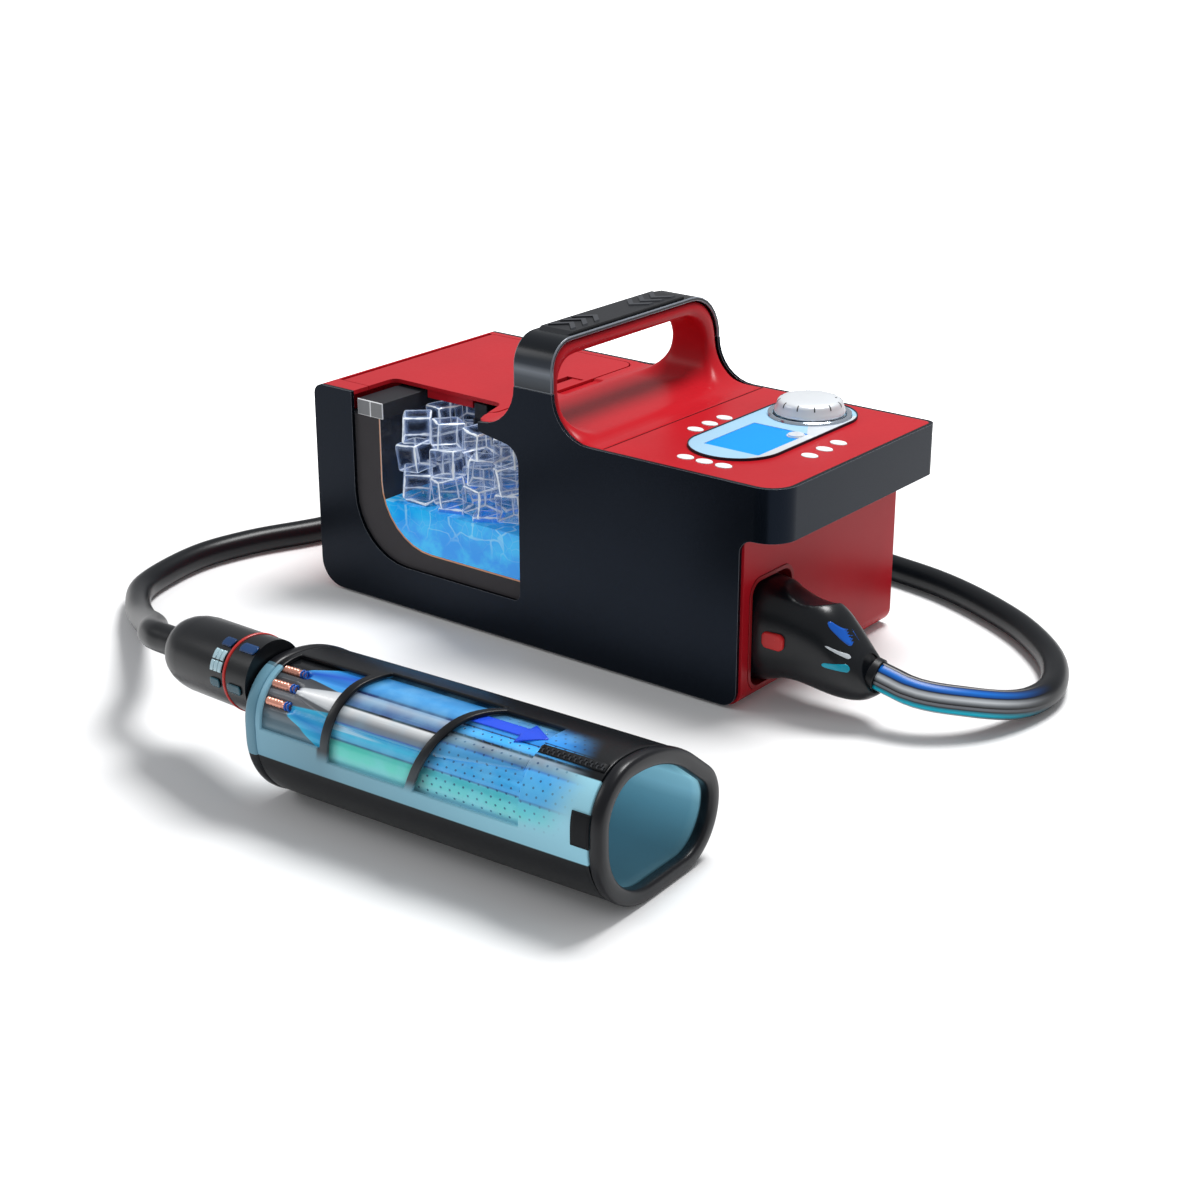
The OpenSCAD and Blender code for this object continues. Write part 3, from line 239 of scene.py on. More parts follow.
def tube_mesh(name, line, sides, radii, up=Vector((0, 0, 1)), caps=True):
    """A tube along a line. radii gives the half width and half height at a share of its length.
    Its UV map holds the length in metres and the turn from 0 to 1."""
    along = [0.0]
    for a, b in zip(line, line[1:]):
        along.append(along[-1] + (b - a).length)
    bm = bmesh.new()
    uv = bm.loops.layers.uv.new("UVMap")
    rings = []
    for i, p in enumerate(line):
        t = (line[min(i + 1, len(line) - 1)] - line[max(i - 1, 0)]).normalized()
        side = t.cross(up).normalized()
        top = side.cross(t)
        a, b = radii(along[i] / along[-1])
        rings.append([bm.verts.new(p + side * (a * math.cos(math.tau * k / sides))
                                   + top * (b * math.sin(math.tau * k / sides)))
                      for k in range(sides)])
    for i in range(len(line) - 1):
        for k in range(sides):
            j = (k + 1) % sides
            face = bm.faces.new((rings[i][k], rings[i + 1][k], rings[i + 1][j], rings[i][j]))
            face.smooth = True
            for loop, (s, v) in zip(face.loops, ((i, k), (i + 1, k), (i + 1, k + 1), (i, k + 1))):
                loop[uv].uv = (along[s], v / sides)
    if caps:
        bm.faces.new(rings[0])
        bm.faces.new(list(reversed(rings[-1])))
    bmesh.ops.recalc_face_normals(bm, faces=bm.faces)
    mesh = bpy.data.meshes.new(name)
    bm.to_mesh(mesh)
    bm.free()
    return mesh


hose_line = smooth_route(hose_points, 6)
hose_mesh = tube_mesh("hose_sleeve", hose_line, 32, lambda s: (9.3 * mm, 9.9 * mm))
hose_finish = finish("hose sleeve", (0.004, 0.005, 0.007), 0.32, specular=0.3)
hose_map = add(hose_finish, "ShaderNodeUVMap", uv_map="UVMap")
hose_parts = add(hose_finish, "ShaderNodeSeparateXYZ")
join(hose_finish, hose_map.outputs["UV"], hose_parts.inputs[0])
# Through the clear end of the sleeve the three tubes show, as far as the first bend
round_it = add(hose_finish, "ShaderNodeValToRGB")
tube_dark = (0.006, 0.007, 0.010)
tube_pale = (0.42, 0.41, 0.42)
# Each tube is painted lighter along its middle and darker at its sides: painted shading of its roundness
# over its own colour.
tube_colours_and_shading = ((0.01, tube_dark), (0.035, (0.22, 0.24, 0.26)), (0.065, (0.70, 0.73, 0.76)),
              (0.095, (0.30, 0.32, 0.35)), (0.11, tube_dark), (0.125, (0.004, 0.08, 0.36)),
              (0.165, (0.005, 0.17, 0.66)), (0.205, (0.003, 0.07, 0.32)), (0.22, tube_dark),
              (0.235, tube_pale), (0.255, tube_dark), (0.825, tube_dark), (0.84, tube_pale),
              (0.85, tube_dark), (0.86, tube_pale), (0.87, (0.003, 0.24, 0.34)),
              (0.91, (0.005, 0.48, 0.64)), (0.945, (0.003, 0.20, 0.28)), (0.96, tube_dark),
              (0.98, (0.16, 0.17, 0.19)))
while len(round_it.color_ramp.elements) < len(tube_colours_and_shading):
    round_it.color_ramp.elements.new(0.5)
for band, (place, colour) in zip(round_it.color_ramp.elements, tube_colours_and_shading):
    band.position = place
for band, (place, colour) in zip(round_it.color_ramp.elements, tube_colours_and_shading):
    band.color = (*colour, 1)
join(hose_finish, hose_parts.outputs["Y"], round_it.inputs["Fac"])
clear_end = add(hose_finish, "ShaderNodeMapRange", interpolation_type="SMOOTHSTEP")
clear_end.inputs["From Min"].default_value = 0.135
clear_end.inputs["From Max"].default_value = 0.06
join(hose_finish, hose_parts.outputs["X"], clear_end.inputs["Value"])
hose_tone = add(hose_finish, "ShaderNodeMix", data_type="RGBA")
hose_tone.inputs[6].default_value = (0.004, 0.005, 0.007, 1)
join(hose_finish, clear_end.outputs["Result"], hose_tone.inputs[0])
join(hose_finish, round_it.outputs["Color"], hose_tone.inputs[7])
join(hose_finish, hose_tone.outputs[2], shader_of(hose_finish).inputs["Base Color"])
hose_at = add(hose_finish, "ShaderNodeTexCoord")
hose_grain = add(hose_finish, "ShaderNodeTexNoise", Scale=420.0, Detail=3.0)
hose_bump = add(hose_finish, "ShaderNodeBump", Strength=0.08, Distance=0.06 * mm)
join(hose_finish, hose_at.outputs["Object"], hose_grain.inputs["Vector"])
join(hose_finish, hose_grain.outputs["Fac"], hose_bump.inputs["Height"])
join(hose_finish, hose_bump.outputs["Normal"], shader_of(hose_finish).inputs["Normal"])
hose_sleeve = piece("hose_sleeve", hose_mesh, hose_finish)
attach(hose_sleeve, "machine")
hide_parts("hose")

# ---- Front and rear covers ----
# Two gloss black mouldings, screwed on from the back, that sweep up into the handle's legs and
# join as a band round the control head. Every rim is rounded and painted pale grey as a highlight.


def evaluated(thing):
    """The piece's mesh with its modifiers worked in."""
    graph = bpy.context.evaluated_depsgraph_get()
    bpy.context.view_layer.update()
    mesh = bpy.data.meshes.new_from_object(thing.evaluated_get(graph), depsgraph=graph)
    old = thing.data
    thing.modifiers.clear()
    thing.data = mesh
    mesh.name = old.name
    return thing


def merged_copy(source, name, tidy=True):
    """A copy of a solid's mesh with its triangles joined into whole faces."""
    bm = bmesh.new()
    bm.from_mesh(cad[source].data)
    bmesh.ops.remove_doubles(bm, verts=bm.verts, dist=0.004 * mm)
    if tidy:
        bmesh.ops.dissolve_limit(bm, angle_limit=math.radians(0.4), verts=bm.verts,
                                 edges=bm.edges, delimit=set())
    for face in bm.faces:
        face.smooth = True
    for edge in bm.edges:
        edge.smooth = len(edge.link_faces) == 2 and edge.calc_face_angle(0) < math.radians(28)
    mesh = bpy.data.meshes.new(name)
    bm.to_mesh(mesh)
    bm.free()
    return mesh


def rounded_copy(name, source, radius, materials, edge_slot=-1, steps=3, limit=32, body="machine"):
    """A solid as moulded: its sharp edges get a radius, which may have a finish of its own."""
    thing = piece(name, merged_copy(source, name), *materials)
    bevel = thing.modifiers.new("radius", "BEVEL")
    bevel.width = radius * mm
    bevel.segments = steps
    bevel.limit_method = "ANGLE"
    bevel.angle_limit = math.radians(limit)
    bevel.material = edge_slot
    bevel.use_clamp_overlap = True
    bevel.miter_outer = "MITER_ARC"
    even = thing.modifiers.new("even", "WEIGHTED_NORMAL")
    even.keep_sharp = False
    even.weight = 80
    evaluated(thing)
    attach(thing, body)
    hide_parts(source)
    return thing


cover_finish = finish("gloss black cover", (0.0024, 0.0038, 0.0062), 0.26, specular=0.2)
shader_of(cover_finish).inputs["Specular Tint"].default_value = (0.5, 0.66, 1.0, 1)
speckle(cover_finish, 900, 0.03, spread=0.2, depth=0.01)
# Painted highlight: the rounded rims get a pale grey finish of their own.
cover_edge_highlight = finish("polished cover edge", (0.19, 0.21, 0.24), 0.25, specular=0.45)
speckle(cover_edge_highlight, 700, 0.02, spread=0.05, depth=0.01)
front = rounded_copy("front_cover_moulding", "front_cover", 0.8, (cover_finish, cover_edge_highlight), 1)
rear = rounded_copy("rear_cover_moulding", "rear_cover", 0.8, (cover_finish, cover_edge_highlight), 1)

# ---- Tray, feet and cover screws ----
# A moulded black tray closes the underside. Three rubber strips are let into it, and crosshead
# screws hold the rear cover to its bosses.
tray_finish = finish("tray plastic", (0.012, 0.013, 0.016), 0.5, specular=0.4)
speckle(tray_finish, 420, 0.2, depth=0.05)
for name in ("base_tray", "power_inlet"):
    cad[name].data.materials.clear()
    cad[name].data.materials.append(tray_finish)
foot_finish = finish("foot rubber", (0.02, 0.02, 0.021), 0.75, specular=0.25)
speckle(foot_finish, 600, 0.35, depth=0.08)
cad["rubber_feet"].data.materials.clear()
cad["rubber_feet"].data.materials.append(foot_finish)
screw_steel = finish("screw steel", (0.55, 0.56, 0.58), 0.3, metallic=1.0)
speckle(screw_steel, 500, 0.08, spread=0.05)
cad["cover_screws"].data.materials.clear()
cad["cover_screws"].data.materials.append(screw_steel)

# ---- Tail wall and end wall ----
# Red gloss walls between the covers. Each bends under the machine at its foot, and the end wall
# is pierced for the hose socket.
wall_red = finish("red gloss wall", (0.44, 0.008, 0.016), 0.32, specular=0.15)
speckle(wall_red, 260, 0.01, spread=0.05, depth=0.01, detail=1.0)
tail = rounded_copy("tail_wall_moulding", "tail_wall", 0.5, (wall_red,))
end = rounded_copy("end_wall_moulding", "end_wall", 0.5, (wall_red,))
# ---- Deck with the handle's arch ----
# One red gloss moulding: the flat deck, the notch of the cutaway, and the arch that grows out of
# it in soft fillets. Its skin is drawn tight over the solid and eased where the arch meets the deck.
deck_level = 159 * mm
deck_red = finish("red gloss deck", (0.47, 0.0115, 0.019), 0.3, specular=0.14)
speckle(deck_red, 300, 0.012, spread=0.05, depth=0.01, detail=1.0)
deck = piece("deck_and_arch", merged_copy("deck_shell", "deck_and_arch"), deck_red)
skin = deck.modifiers.new("skin", "REMESH")
skin.mode = "VOXEL"
skin.voxel_size = 1.0 * mm
evaluated(deck)
bm = bmesh.new()
bm.from_mesh(deck.data)
bm.verts.ensure_lookup_table()
count = len(bm.verts)
place = np.array([v.co for v in bm.verts])
pairs = np.array([(e.verts[0].index, e.verts[1].index) for e in bm.edges])
degree = np.bincount(pairs.ravel(), minlength=count)[:, None]
soft = np.clip((place[:, 2] - deck_level + 0.3 * mm) / (3 * mm), 0, 1)
soft *= (place[:, 0] > -52 * mm) & (place[:, 0] < 62 * mm)
fixed = place[:, 2] < deck_level - 0.5 * mm
soft[fixed] = 0
soft = soft[:, None]
for turn in range(60):
    mean = np.zeros_like(place)
    np.add.at(mean, pairs[:, 0], place[pairs[:, 1]])
    np.add.at(mean, pairs[:, 1], place[pairs[:, 0]])
    mean /= degree
    place += 0.6 * soft * (mean - place)
for v, p in zip(bm.verts, place):
    v.co = p
for face in bm.faces:
    face.smooth = True
for edge in bm.edges:
    edge.smooth = edge.calc_face_angle(0) < math.radians(40)
bm.to_mesh(deck.data)
bm.free()
thin = deck.modifiers.new("thin", "DECIMATE")
thin.decimate_type = "DISSOLVE"
thin.angle_limit = math.radians(0.6)
evaluated(deck)
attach(deck, "machine")
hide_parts("deck_shell")

# ---- Handle strap and grip pad ----
# A gloss black strap is clipped over the arch, and a rubber pad with moulded chevrons sits in
# its top. The chevrons point along the handle at both ends; the middle is bare.
strap_black = finish("gloss black strap", (0.0024, 0.0038, 0.0062), 0.24, specular=0.3)
strap_at = add(strap_black, "ShaderNodeTexCoord")
strap_parts = add(strap_black, "ShaderNodeSeparateXYZ")
join(strap_black, strap_at.outputs["Object"], strap_parts.inputs[0])
# Painted highlight: the bend over the front leg is painted with a steel-like reflection that fades both
# ways
strap_painted_highlight = add(strap_black, "ShaderNodeValToRGB")
strap_painted_highlight_bands = ((0.0, (0.0024, 0.0038, 0.0062)), (0.30, (0.0024, 0.0038, 0.0062)),
               (0.52, (0.085, 0.10, 0.12)), (0.60, (0.22, 0.245, 0.28)), (0.68, (0.05, 0.06, 0.075)),
               (0.85, (0.006, 0.008, 0.011)))
while len(strap_painted_highlight.color_ramp.elements) < len(strap_painted_highlight_bands):
    strap_painted_highlight.color_ramp.elements.new(0.5)
for band, (place, colour) in zip(strap_painted_highlight.color_ramp.elements, strap_painted_highlight_bands):
    band.position = place
for band, (place, colour) in zip(strap_painted_highlight.color_ramp.elements, strap_painted_highlight_bands):
    band.color = (*colour, 1)
strap_rise = add(strap_black, "ShaderNodeMapRange")
strap_rise.inputs["From Min"].default_value = 170 * mm
strap_rise.inputs["From Max"].default_value = 226 * mm
join(strap_black, strap_parts.outputs["Z"], strap_rise.inputs["Value"])
join(strap_black, strap_rise.outputs["Result"], strap_painted_highlight.inputs["Fac"])
strap_front = add(strap_black, "ShaderNodeMapRange", interpolation_type="SMOOTHSTEP")
strap_front.inputs["From Min"].default_value = -70 * mm
strap_front.inputs["From Max"].default_value = -84 * mm
join(strap_black, strap_parts.outputs["Y"], strap_front.inputs["Value"])
strap_tone = add(strap_black, "ShaderNodeMix", data_type="RGBA")
strap_tone.inputs[6].default_value = (0.0024, 0.0038, 0.0062, 1)
join(strap_black, strap_front.outputs["Result"], strap_tone.inputs[0])
join(strap_black, strap_painted_highlight.outputs["Color"], strap_tone.inputs[7])
join(strap_black, strap_tone.outputs[2], shader_of(strap_black).inputs["Base Color"])
strap = rounded_copy("handle_strap", "handle_cover", 0.9, (strap_black, cover_edge_highlight), 1)
pad_rubber = finish("grip rubber", (0.009, 0.010, 0.013), 0.42, specular=0.4)
speckle(pad_rubber, 500, 0.3, depth=0.06)
pad = rounded_copy("grip_pad_moulding", "grip_pad", 0.9, (pad_rubber,))


def repeated(name, shape, places, material):
    """One small shape set at every place of a list by a node tree; each is (point, turns)."""
    pattern = bpy.data.objects.new(name + "_pattern", shape)
    spots = bpy.data.meshes.new(name)
    spots.from_pydata([point for point, turns in places], [], [])
    turned = spots.attributes.new("turn", "FLOAT_VECTOR", "POINT")
    for i, (point, turns) in enumerate(places):
        turned.data[i].vector = turns
    row = piece(name, spots, material)
    group = bpy.data.node_groups.new(name, "GeometryNodeTree")
    group.interface.new_socket("Geometry", in_out="INPUT", socket_type="NodeSocketGeometry")
    size = group.interface.new_socket("Size", in_out="INPUT", socket_type="NodeSocketFloat")
    group.interface.new_socket("Geometry", in_out="OUTPUT", socket_type="NodeSocketGeometry")
    source = group.nodes.new("NodeGroupInput")
    sink = group.nodes.new("NodeGroupOutput")
    picked = group.nodes.new("GeometryNodeObjectInfo")
    picked.inputs["Object"].default_value = pattern
    on_points = group.nodes.new("GeometryNodeInstanceOnPoints")
    turn = group.nodes.new("GeometryNodeInputNamedAttribute")
    turn.data_type = "FLOAT_VECTOR"
    turn.inputs["Name"].default_value = "turn"
    real = group.nodes.new("GeometryNodeRealizeInstances")
    dress = group.nodes.new("GeometryNodeSetMaterial")
    dress.inputs["Material"].default_value = material
    link = group.links.new
    link(source.outputs["Geometry"], on_points.inputs["Points"])
    link(picked.outputs["Geometry"], on_points.inputs["Instance"])
    link(turn.outputs["Attribute"], on_points.inputs["Rotation"])
    link(source.outputs["Size"], on_points.inputs["Scale"])
    link(on_points.outputs[0], real.inputs[0])
    link(real.outputs[0], dress.inputs["Geometry"])
    link(dress.outputs[0], sink.inputs[0])
    spread = row.modifiers.new("spread", "NODES")
    spread.node_group = group
    spread[size.identifier] = 1.0
    evaluated(row)
    bpy.data.objects.remove(pattern)
    return row


def solid_from(outline, low, high, inset=0.0, name="shape"):
    """An outline raised from low to high, its top drawn in by a share."""
    bm = bmesh.new()
    n = len(outline)
    cx = sum(p[0] for p in outline) / n
    cy = sum(p[1] for p in outline) / n
    base = [bm.verts.new((x, y, low)) for x, y in outline]
    top = [bm.verts.new((x + (cx - x) * inset, y + (cy - y) * inset, high)) for x, y in outline]
    for i in range(n):
        j = (i + 1) % n
        bm.faces.new((base[i], base[j], top[j], top[i]))
    bm.faces.new(base)
    bm.faces.new(list(reversed(top)))
    bmesh.ops.recalc_face_normals(bm, faces=bm.faces)
    mesh = bpy.data.meshes.new(name)
    bm.to_mesh(mesh)
    bm.free()
    return mesh


pad_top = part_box("grip_pad")[1][2]
arm = 10.5 * mm
rise = 5.5 * mm
thick = 5.5 * mm
chevron = solid_from([(-arm, -rise), (-arm, -rise - thick), (0, rise - thick), (arm, -rise - thick),
                      (arm, -rise), (0, rise)], -0.5 * mm, 0.9 * mm, 0.07, "chevron")
chevron_places = [((4 * mm, y * mm, pad_top), (0, 0, 0)) for y in (-58, -45, -32)]
chevron_places += [((4 * mm, y * mm, pad_top), (0, 0, math.pi)) for y in (14, 27, 40)]
# The chevrons are painted lighter than the pad, a painted highlight for the light their edges catch.
chevron_highlight_rubber = finish("chevron rubber", (0.030, 0.033, 0.040), 0.35, specular=0.5)
speckle(chevron_highlight_rubber, 500, 0.15, depth=0.04)
ribs = repeated("grip_chevrons", chevron, chevron_places, chevron_highlight_rubber)
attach(ribs, "machine")

# ---- Lid, latch and hinge ----
# The red lid lies flush in the deck and turns on a steel pin along the tail. A sprung latch
# slides in its own recess by the handle, and a soft gasket seals the reservoir's mouth.
lid_plate = rounded_copy("lid_moulding", "lid", 0.45, (deck_red,), body="lid")
latch = rounded_copy("latch_moulding", "lid_latch", 0.5, (deck_red,), body="latch")
gasket_rubber = finish("gasket rubber", (0.03, 0.031, 0.034), 0.6, specular=0.3)
speckle(gasket_rubber, 500, 0.25, depth=0.05)
for name, material in (("lid_gasket", gasket_rubber), ("hinge_pin", screw_steel)):
    cad[name].data.materials.clear()
    cad[name].data.materials.append(material)
# The coil shortens against the lid's stop, by a little more than the latch's 4 mm of travel.
coil = piece("latch_coil", merged_copy("latch_spring", "latch_coil"), screw_steel)
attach(coil, "lid")
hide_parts("latch_spring")
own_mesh(coil)
# ---- Control head ----
# The red head is a moulding of its own, pressed on the end of the deck and screwed from below.
# Its top carries the screen's pale oval frame, the dial and nine small keys.
head = rounded_copy("control_head", "control_panel", 0.35, (deck_red,))
# A thin dark line lies in the seam where the head meets the deck.
head_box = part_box("control_panel")
seam_dark = finish("seam shadow line", (0.03, 0.001, 0.002), 0.5, specular=0.1)
speckle(seam_dark, 500, 0.05)
seam_x, seam_half = head_box[0][0], 0.45 * mm
seam_y = head_box[1][1] - 1 * mm
seam = piece("head_seam", solid_from([(seam_x - seam_half, -seam_y), (seam_x + seam_half, -seam_y),
                                      (seam_x + seam_half, seam_y), (seam_x - seam_half, seam_y)],
                                     deck_level - 0.8 * mm, deck_level + 0.12 * mm, 0, "head_seam"),
             seam_dark)
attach(seam, "machine")

# ---- Screen and its frame ----
# An oval frame of pale blue plastic is let into the head. It holds a bright blue screen, and a
# small clear lens over the light sensor bites into the screen's corner.
frame_half_w, frame_half_l = 33 * mm, 77.5 * mm
frame_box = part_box("display_bezel")
frame_x = (frame_box[0][0] + frame_box[1][0]) / 2
frame_y = (frame_box[0][1] + frame_box[1][1]) / 2
lens_box_x = frame_x + 20 * mm
lens_box_y = frame_y - 3.5 * mm
bezel_blue = finish("pale blue frame", (0.36, 0.60, 0.78), 0.3, specular=0.3)
speckle(bezel_blue, 500, 0.04, spread=0.05)
lens_silver = finish("sensor lens", (0.78, 0.82, 0.86), 0.14, specular=0.8, metallic=0.25)
speckle(lens_silver, 300, 0.02, spread=0.1)
bezel = rounded_copy("screen_frame", "display_bezel", 0.5, (bezel_blue, lens_silver))
for polygon in bezel.data.polygons:
    cx, cy, cz = polygon.center
    if cz > frame_box[1][2] - 1.1 * mm and math.hypot(cx - lens_box_x, cy - lens_box_y) < 5.8 * mm:
        polygon.material_index = 1


def pill_ring(name, half_w, half_l, width, low, high, steps=48):
    """A thin oval ring with straight flanks and round ends."""
    bm = bmesh.new()
    rings = []
    for grow, z in ((0, low), (0, high), (width, high), (width, low)):
        r = half_w + grow
        line = []
        for k in range(steps):
            t = math.tau * k / steps
            shift = (half_l - half_w) * (1 if math.sin(t) > 0 else -1)
            line.append(bm.verts.new((frame_x + r * math.cos(t),
                                      frame_y + shift + r * math.sin(t), z)))
        rings.append(line)
    for i in range(4):
        a, b = rings[i], rings[(i + 1) % 4]
        for k in range(steps):
            j = (k + 1) % steps
            bm.faces.new((a[k], a[j], b[j], b[k]))
    bmesh.ops.recalc_face_normals(bm, faces=bm.faces)
    mesh = bpy.data.meshes.new(name)
    bm.to_mesh(mesh)
    bm.free()
    return mesh


gasket_dark = finish("frame seal", (0.012, 0.010, 0.02), 0.5, specular=0.3)
speckle(gasket_dark, 600, 0.1)
deck_top = 160.5 * mm
frame_seal = piece("screen_frame_seal",
                   pill_ring("screen_frame_seal", frame_half_w - 0.1 * mm, frame_half_l - 0.1 * mm,
                             0.75 * mm, deck_top - 1.5 * mm, deck_top + 0.35 * mm), gasket_dark)
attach(frame_seal, "machine")

screen_blue = finish("lit screen", (0.002, 0.25, 0.82), 0.3, specular=0.1)
speckle(screen_blue, 900, 0.01, spread=0.03)
shader_of(screen_blue).inputs["Emission Color"].default_value = (0.002, 0.27, 0.87, 1)
shader_of(screen_blue).inputs["Emission Strength"].default_value = 0.25
screen = rounded_copy("screen_glass", "lcd_screen", 0.2, (screen_blue,))

# ---- Dial ----
# A turned aluminium knob with a shallow dome, twelve short marks cut round its shoulder and one
# dot by the edge. It stands in a polished ring; the plunger and shaft are under it.
dial_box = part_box("dial_knob")
dial_x = (dial_box[0][0] + dial_box[1][0]) / 2
dial_y = (dial_box[0][1] + dial_box[1][1]) / 2
dial_z = dial_box[0][2]
dial_h = dial_box[1][2] - dial_z
dial_r = (dial_box[1][0] - dial_box[0][0]) / 2
# Radius and height as shares of the knob's own
dial_profile = [
    (0.0, 0.0), (0.955, 0.0), (0.985, 0.02), (1.0, 0.06), (1.0, 0.16), (0.992, 0.24), (0.975, 0.34),
    (0.955, 0.45), (0.94, 0.56), (0.928, 0.66), (0.91, 0.75), (0.88, 0.82), (0.835, 0.875),
    (0.77, 0.92), (0.66, 0.955), (0.5, 0.98), (0.3, 0.995), (0.0, 1.0)
]


def turned(name, profile, steps, x, y):
    """A shape turned on an upright axis from (radius, height) pairs."""
    bm = bmesh.new()
    rings = []
    for r, z in profile:
        if r < 1e-7:
            rings.append([bm.verts.new((x, y, z))])
        else:
            rings.append([bm.verts.new((x + r * math.cos(math.tau * k / steps),
                                        y + r * math.sin(math.tau * k / steps), z))
                          for k in range(steps)])
    for a, b in zip(rings, rings[1:]):
        for k in range(steps):
            j = (k + 1) % steps
            corners = [a[k % len(a)], a[j % len(a)], b[j % len(b)], b[k % len(b)]]
            bm.faces.new(list(dict.fromkeys(corners)))
    bmesh.ops.recalc_face_normals(bm, faces=bm.faces)
    for face in bm.faces:
        face.smooth = True
    for edge in bm.edges:
        edge.smooth = edge.calc_face_angle(0) < math.radians(38)
    mesh = bpy.data.meshes.new(name)
    bm.to_mesh(mesh)
    bm.free()
    return mesh


dial_metal = finish("dial aluminium", (0.78, 0.81, 0.84), 0.34, specular=0.5, metallic=0.3)
speckle(dial_metal, 60, 0.01, spread=0.04, depth=0.01, detail=1.0)
dial = piece("dial_knob_turned",
             turned("dial_knob_turned", [(r * dial_r, dial_z + z * dial_h) for r, z in dial_profile],
                    128, dial_x, dial_y), dial_metal)
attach(dial, "dial")
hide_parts("dial_knob")


def shoulder_mark():
    """A short dark mark that follows the knob's shoulder, drawn at angle 0."""
    bm = bmesh.new()
    sides = []
    for r, z in dial_profile[8:13]:
        rr, zz = r * dial_r + 0.12 * mm, z * dial_h + 0.12 * mm
        sides.append((bm.verts.new((rr, -0.42 * mm, zz)), bm.verts.new((rr, 0.42 * mm, zz)),
                      bm.verts.new((rr - 0.5 * mm, 0.42 * mm, zz - 0.3 * mm)),
                      bm.verts.new((rr - 0.5 * mm, -0.42 * mm, zz - 0.3 * mm))))
    for a, b in zip(sides, sides[1:]):
        for k in range(4):
            bm.faces.new((a[k], a[(k + 1) % 4], b[(k + 1) % 4], b[k]))
    bm.faces.new(sides[0])
    bm.faces.new(tuple(reversed(sides[-1])))
    bmesh.ops.recalc_face_normals(bm, faces=bm.faces)
    mesh = bpy.data.meshes.new("shoulder_mark")
    bm.to_mesh(mesh)
    bm.free()
    return mesh


mark_dark = finish("dial mark", (0.015, 0.017, 0.022), 0.5)
speckle(mark_dark, 500, 0.1)
marks = repeated("dial_marks", shoulder_mark(),
                 [((dial_x, dial_y, dial_z), (0, 0, math.tau * (k + 0.35) / 12)) for k in range(12)],
                 mark_dark)
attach(marks, "dial")
dot = piece("dial_dot", turned("dial_dot", [(0, dial_z + 0.9 * dial_h), (0.8 * mm, dial_z + 0.9 * dial_h),
                                            (0.8 * mm, dial_z + 0.948 * dial_h),
                                            (0, dial_z + 0.955 * dial_h)], 16,
                               dial_x + 0.58 * dial_r, dial_y + 0.42 * dial_r), mark_dark)
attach(dot, "dial")

ring_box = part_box("knob_ring")
ring_low, ring_high = ring_box[0][2], ring_box[1][2]
ring_r = (ring_box[1][0] - ring_box[0][0]) / 2
ring_chrome = finish("dial ring", (0.66, 0.74, 0.84), 0.12, metallic=0.9)
speckle(ring_chrome, 500, 0.02, spread=0.04)
ring = piece("dial_ring", turned("dial_ring", [
    (ring_r - 3.9 * mm, ring_low), (ring_r - 0.2 * mm, ring_low), (ring_r, ring_low + 0.4 * mm),
    (ring_r - 0.5 * mm, ring_high - 0.5 * mm), (ring_r - 1.4 * mm, ring_high),
    (ring_r - 2.6 * mm, ring_high - 0.2 * mm), (ring_r - 3.9 * mm, ring_high - 1.2 * mm),
    (ring_r - 3.9 * mm, ring_low)], 128, dial_x, dial_y), ring_chrome)
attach(ring, "machine")
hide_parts("knob_ring")
seal = piece("dial_seal", turned("dial_seal", [
    (dial_r + 0.2 * mm, ring_low - 0.1 * mm), (dial_r + 0.7 * mm, ring_low - 0.1 * mm),
    (dial_r + 0.7 * mm, ring_low + 0.9 * mm), (dial_r + 0.2 * mm, ring_low + 0.9 * mm),
    (dial_r + 0.2 * mm, ring_low - 0.1 * mm)], 96, dial_x, dial_y), gasket_dark)
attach(seal, "machine")

# ---- Keys ----
# Nine oval keys of white plastic, crowned, each held under the head by a flange over its switch.
key_white = finish("white key", (0.86, 0.92, 0.93), 0.28, specular=0.5)
speckle(key_white, 500, 0.03, spread=0.02)
for n in range(1, 10):
    key = rounded_copy(f"key_{n}", f"button_{n}", 0.42, (key_white,), body=f"button_{n}")
# ---- Reservoir ----
# The cutaway shows a thick moulded foam jacket, a thin copper liner pressed into it, and a grey
# plastic rim that stiffens the mouth. The dark liner shines inside and is bare copper at the cut.
foam_grey = finish("insulation foam", (0.060, 0.056, 0.060), 0.85, specular=0.15)
speckle(foam_grey, 950, 0.35, spread=0.1, depth=0.12)
foam_painted_shade = finish("shaded foam", (0.012, 0.013, 0.017), 0.8, specular=0.1)
speckle(foam_painted_shade, 950, 0.3, spread=0.1, depth=0.1)
foam = rounded_copy("foam_jacket", "insulation_foam", 0.5, (foam_grey, foam_painted_shade))
# Painted shade: the foam's faces high up and right of the liner's left edge take a near black copy of its
# grey.
cut_left_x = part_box("tank_liner")[0][0]
for polygon in foam.data.polygons:
    x, y, z = polygon.center
    if x > cut_left_x + 2 * mm and z > 120 * mm:
        polygon.material_index = 1

cut_face_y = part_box("insulation_foam")[0][1]
water_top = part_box("coolant_water")[1][2]
liner_dark = finish("liner metal", (0.028, 0.030, 0.036), 0.2, specular=0.6, metallic=0.4)
speckle(liner_dark, 300, 0.05, spread=0.25, depth=0.03)
liner_copper = finish("liner cut edge", (0.72, 0.33, 0.17), 0.3, specular=0.6)
speckle(liner_copper, 400, 0.05, spread=0.08)
liner_cut_highlight = finish("liner bright edge", (0.80, 0.81, 0.84), 0.25, specular=0.6)
speckle(liner_cut_highlight, 400, 0.05, spread=0.04)
liner = rounded_copy("tank_liner_pressing", "tank_liner", 0.12,
                     (liner_dark, liner_copper, liner_cut_highlight), limit=50)
# Painted highlight: the liner's cut face is copper below the water line and painted white above it.
for polygon in liner.data.polygons:
    if polygon.center[1] < cut_face_y + 0.3 * mm:
        polygon.material_index = 1 if polygon.center[2] < water_top + 1 * mm else 2

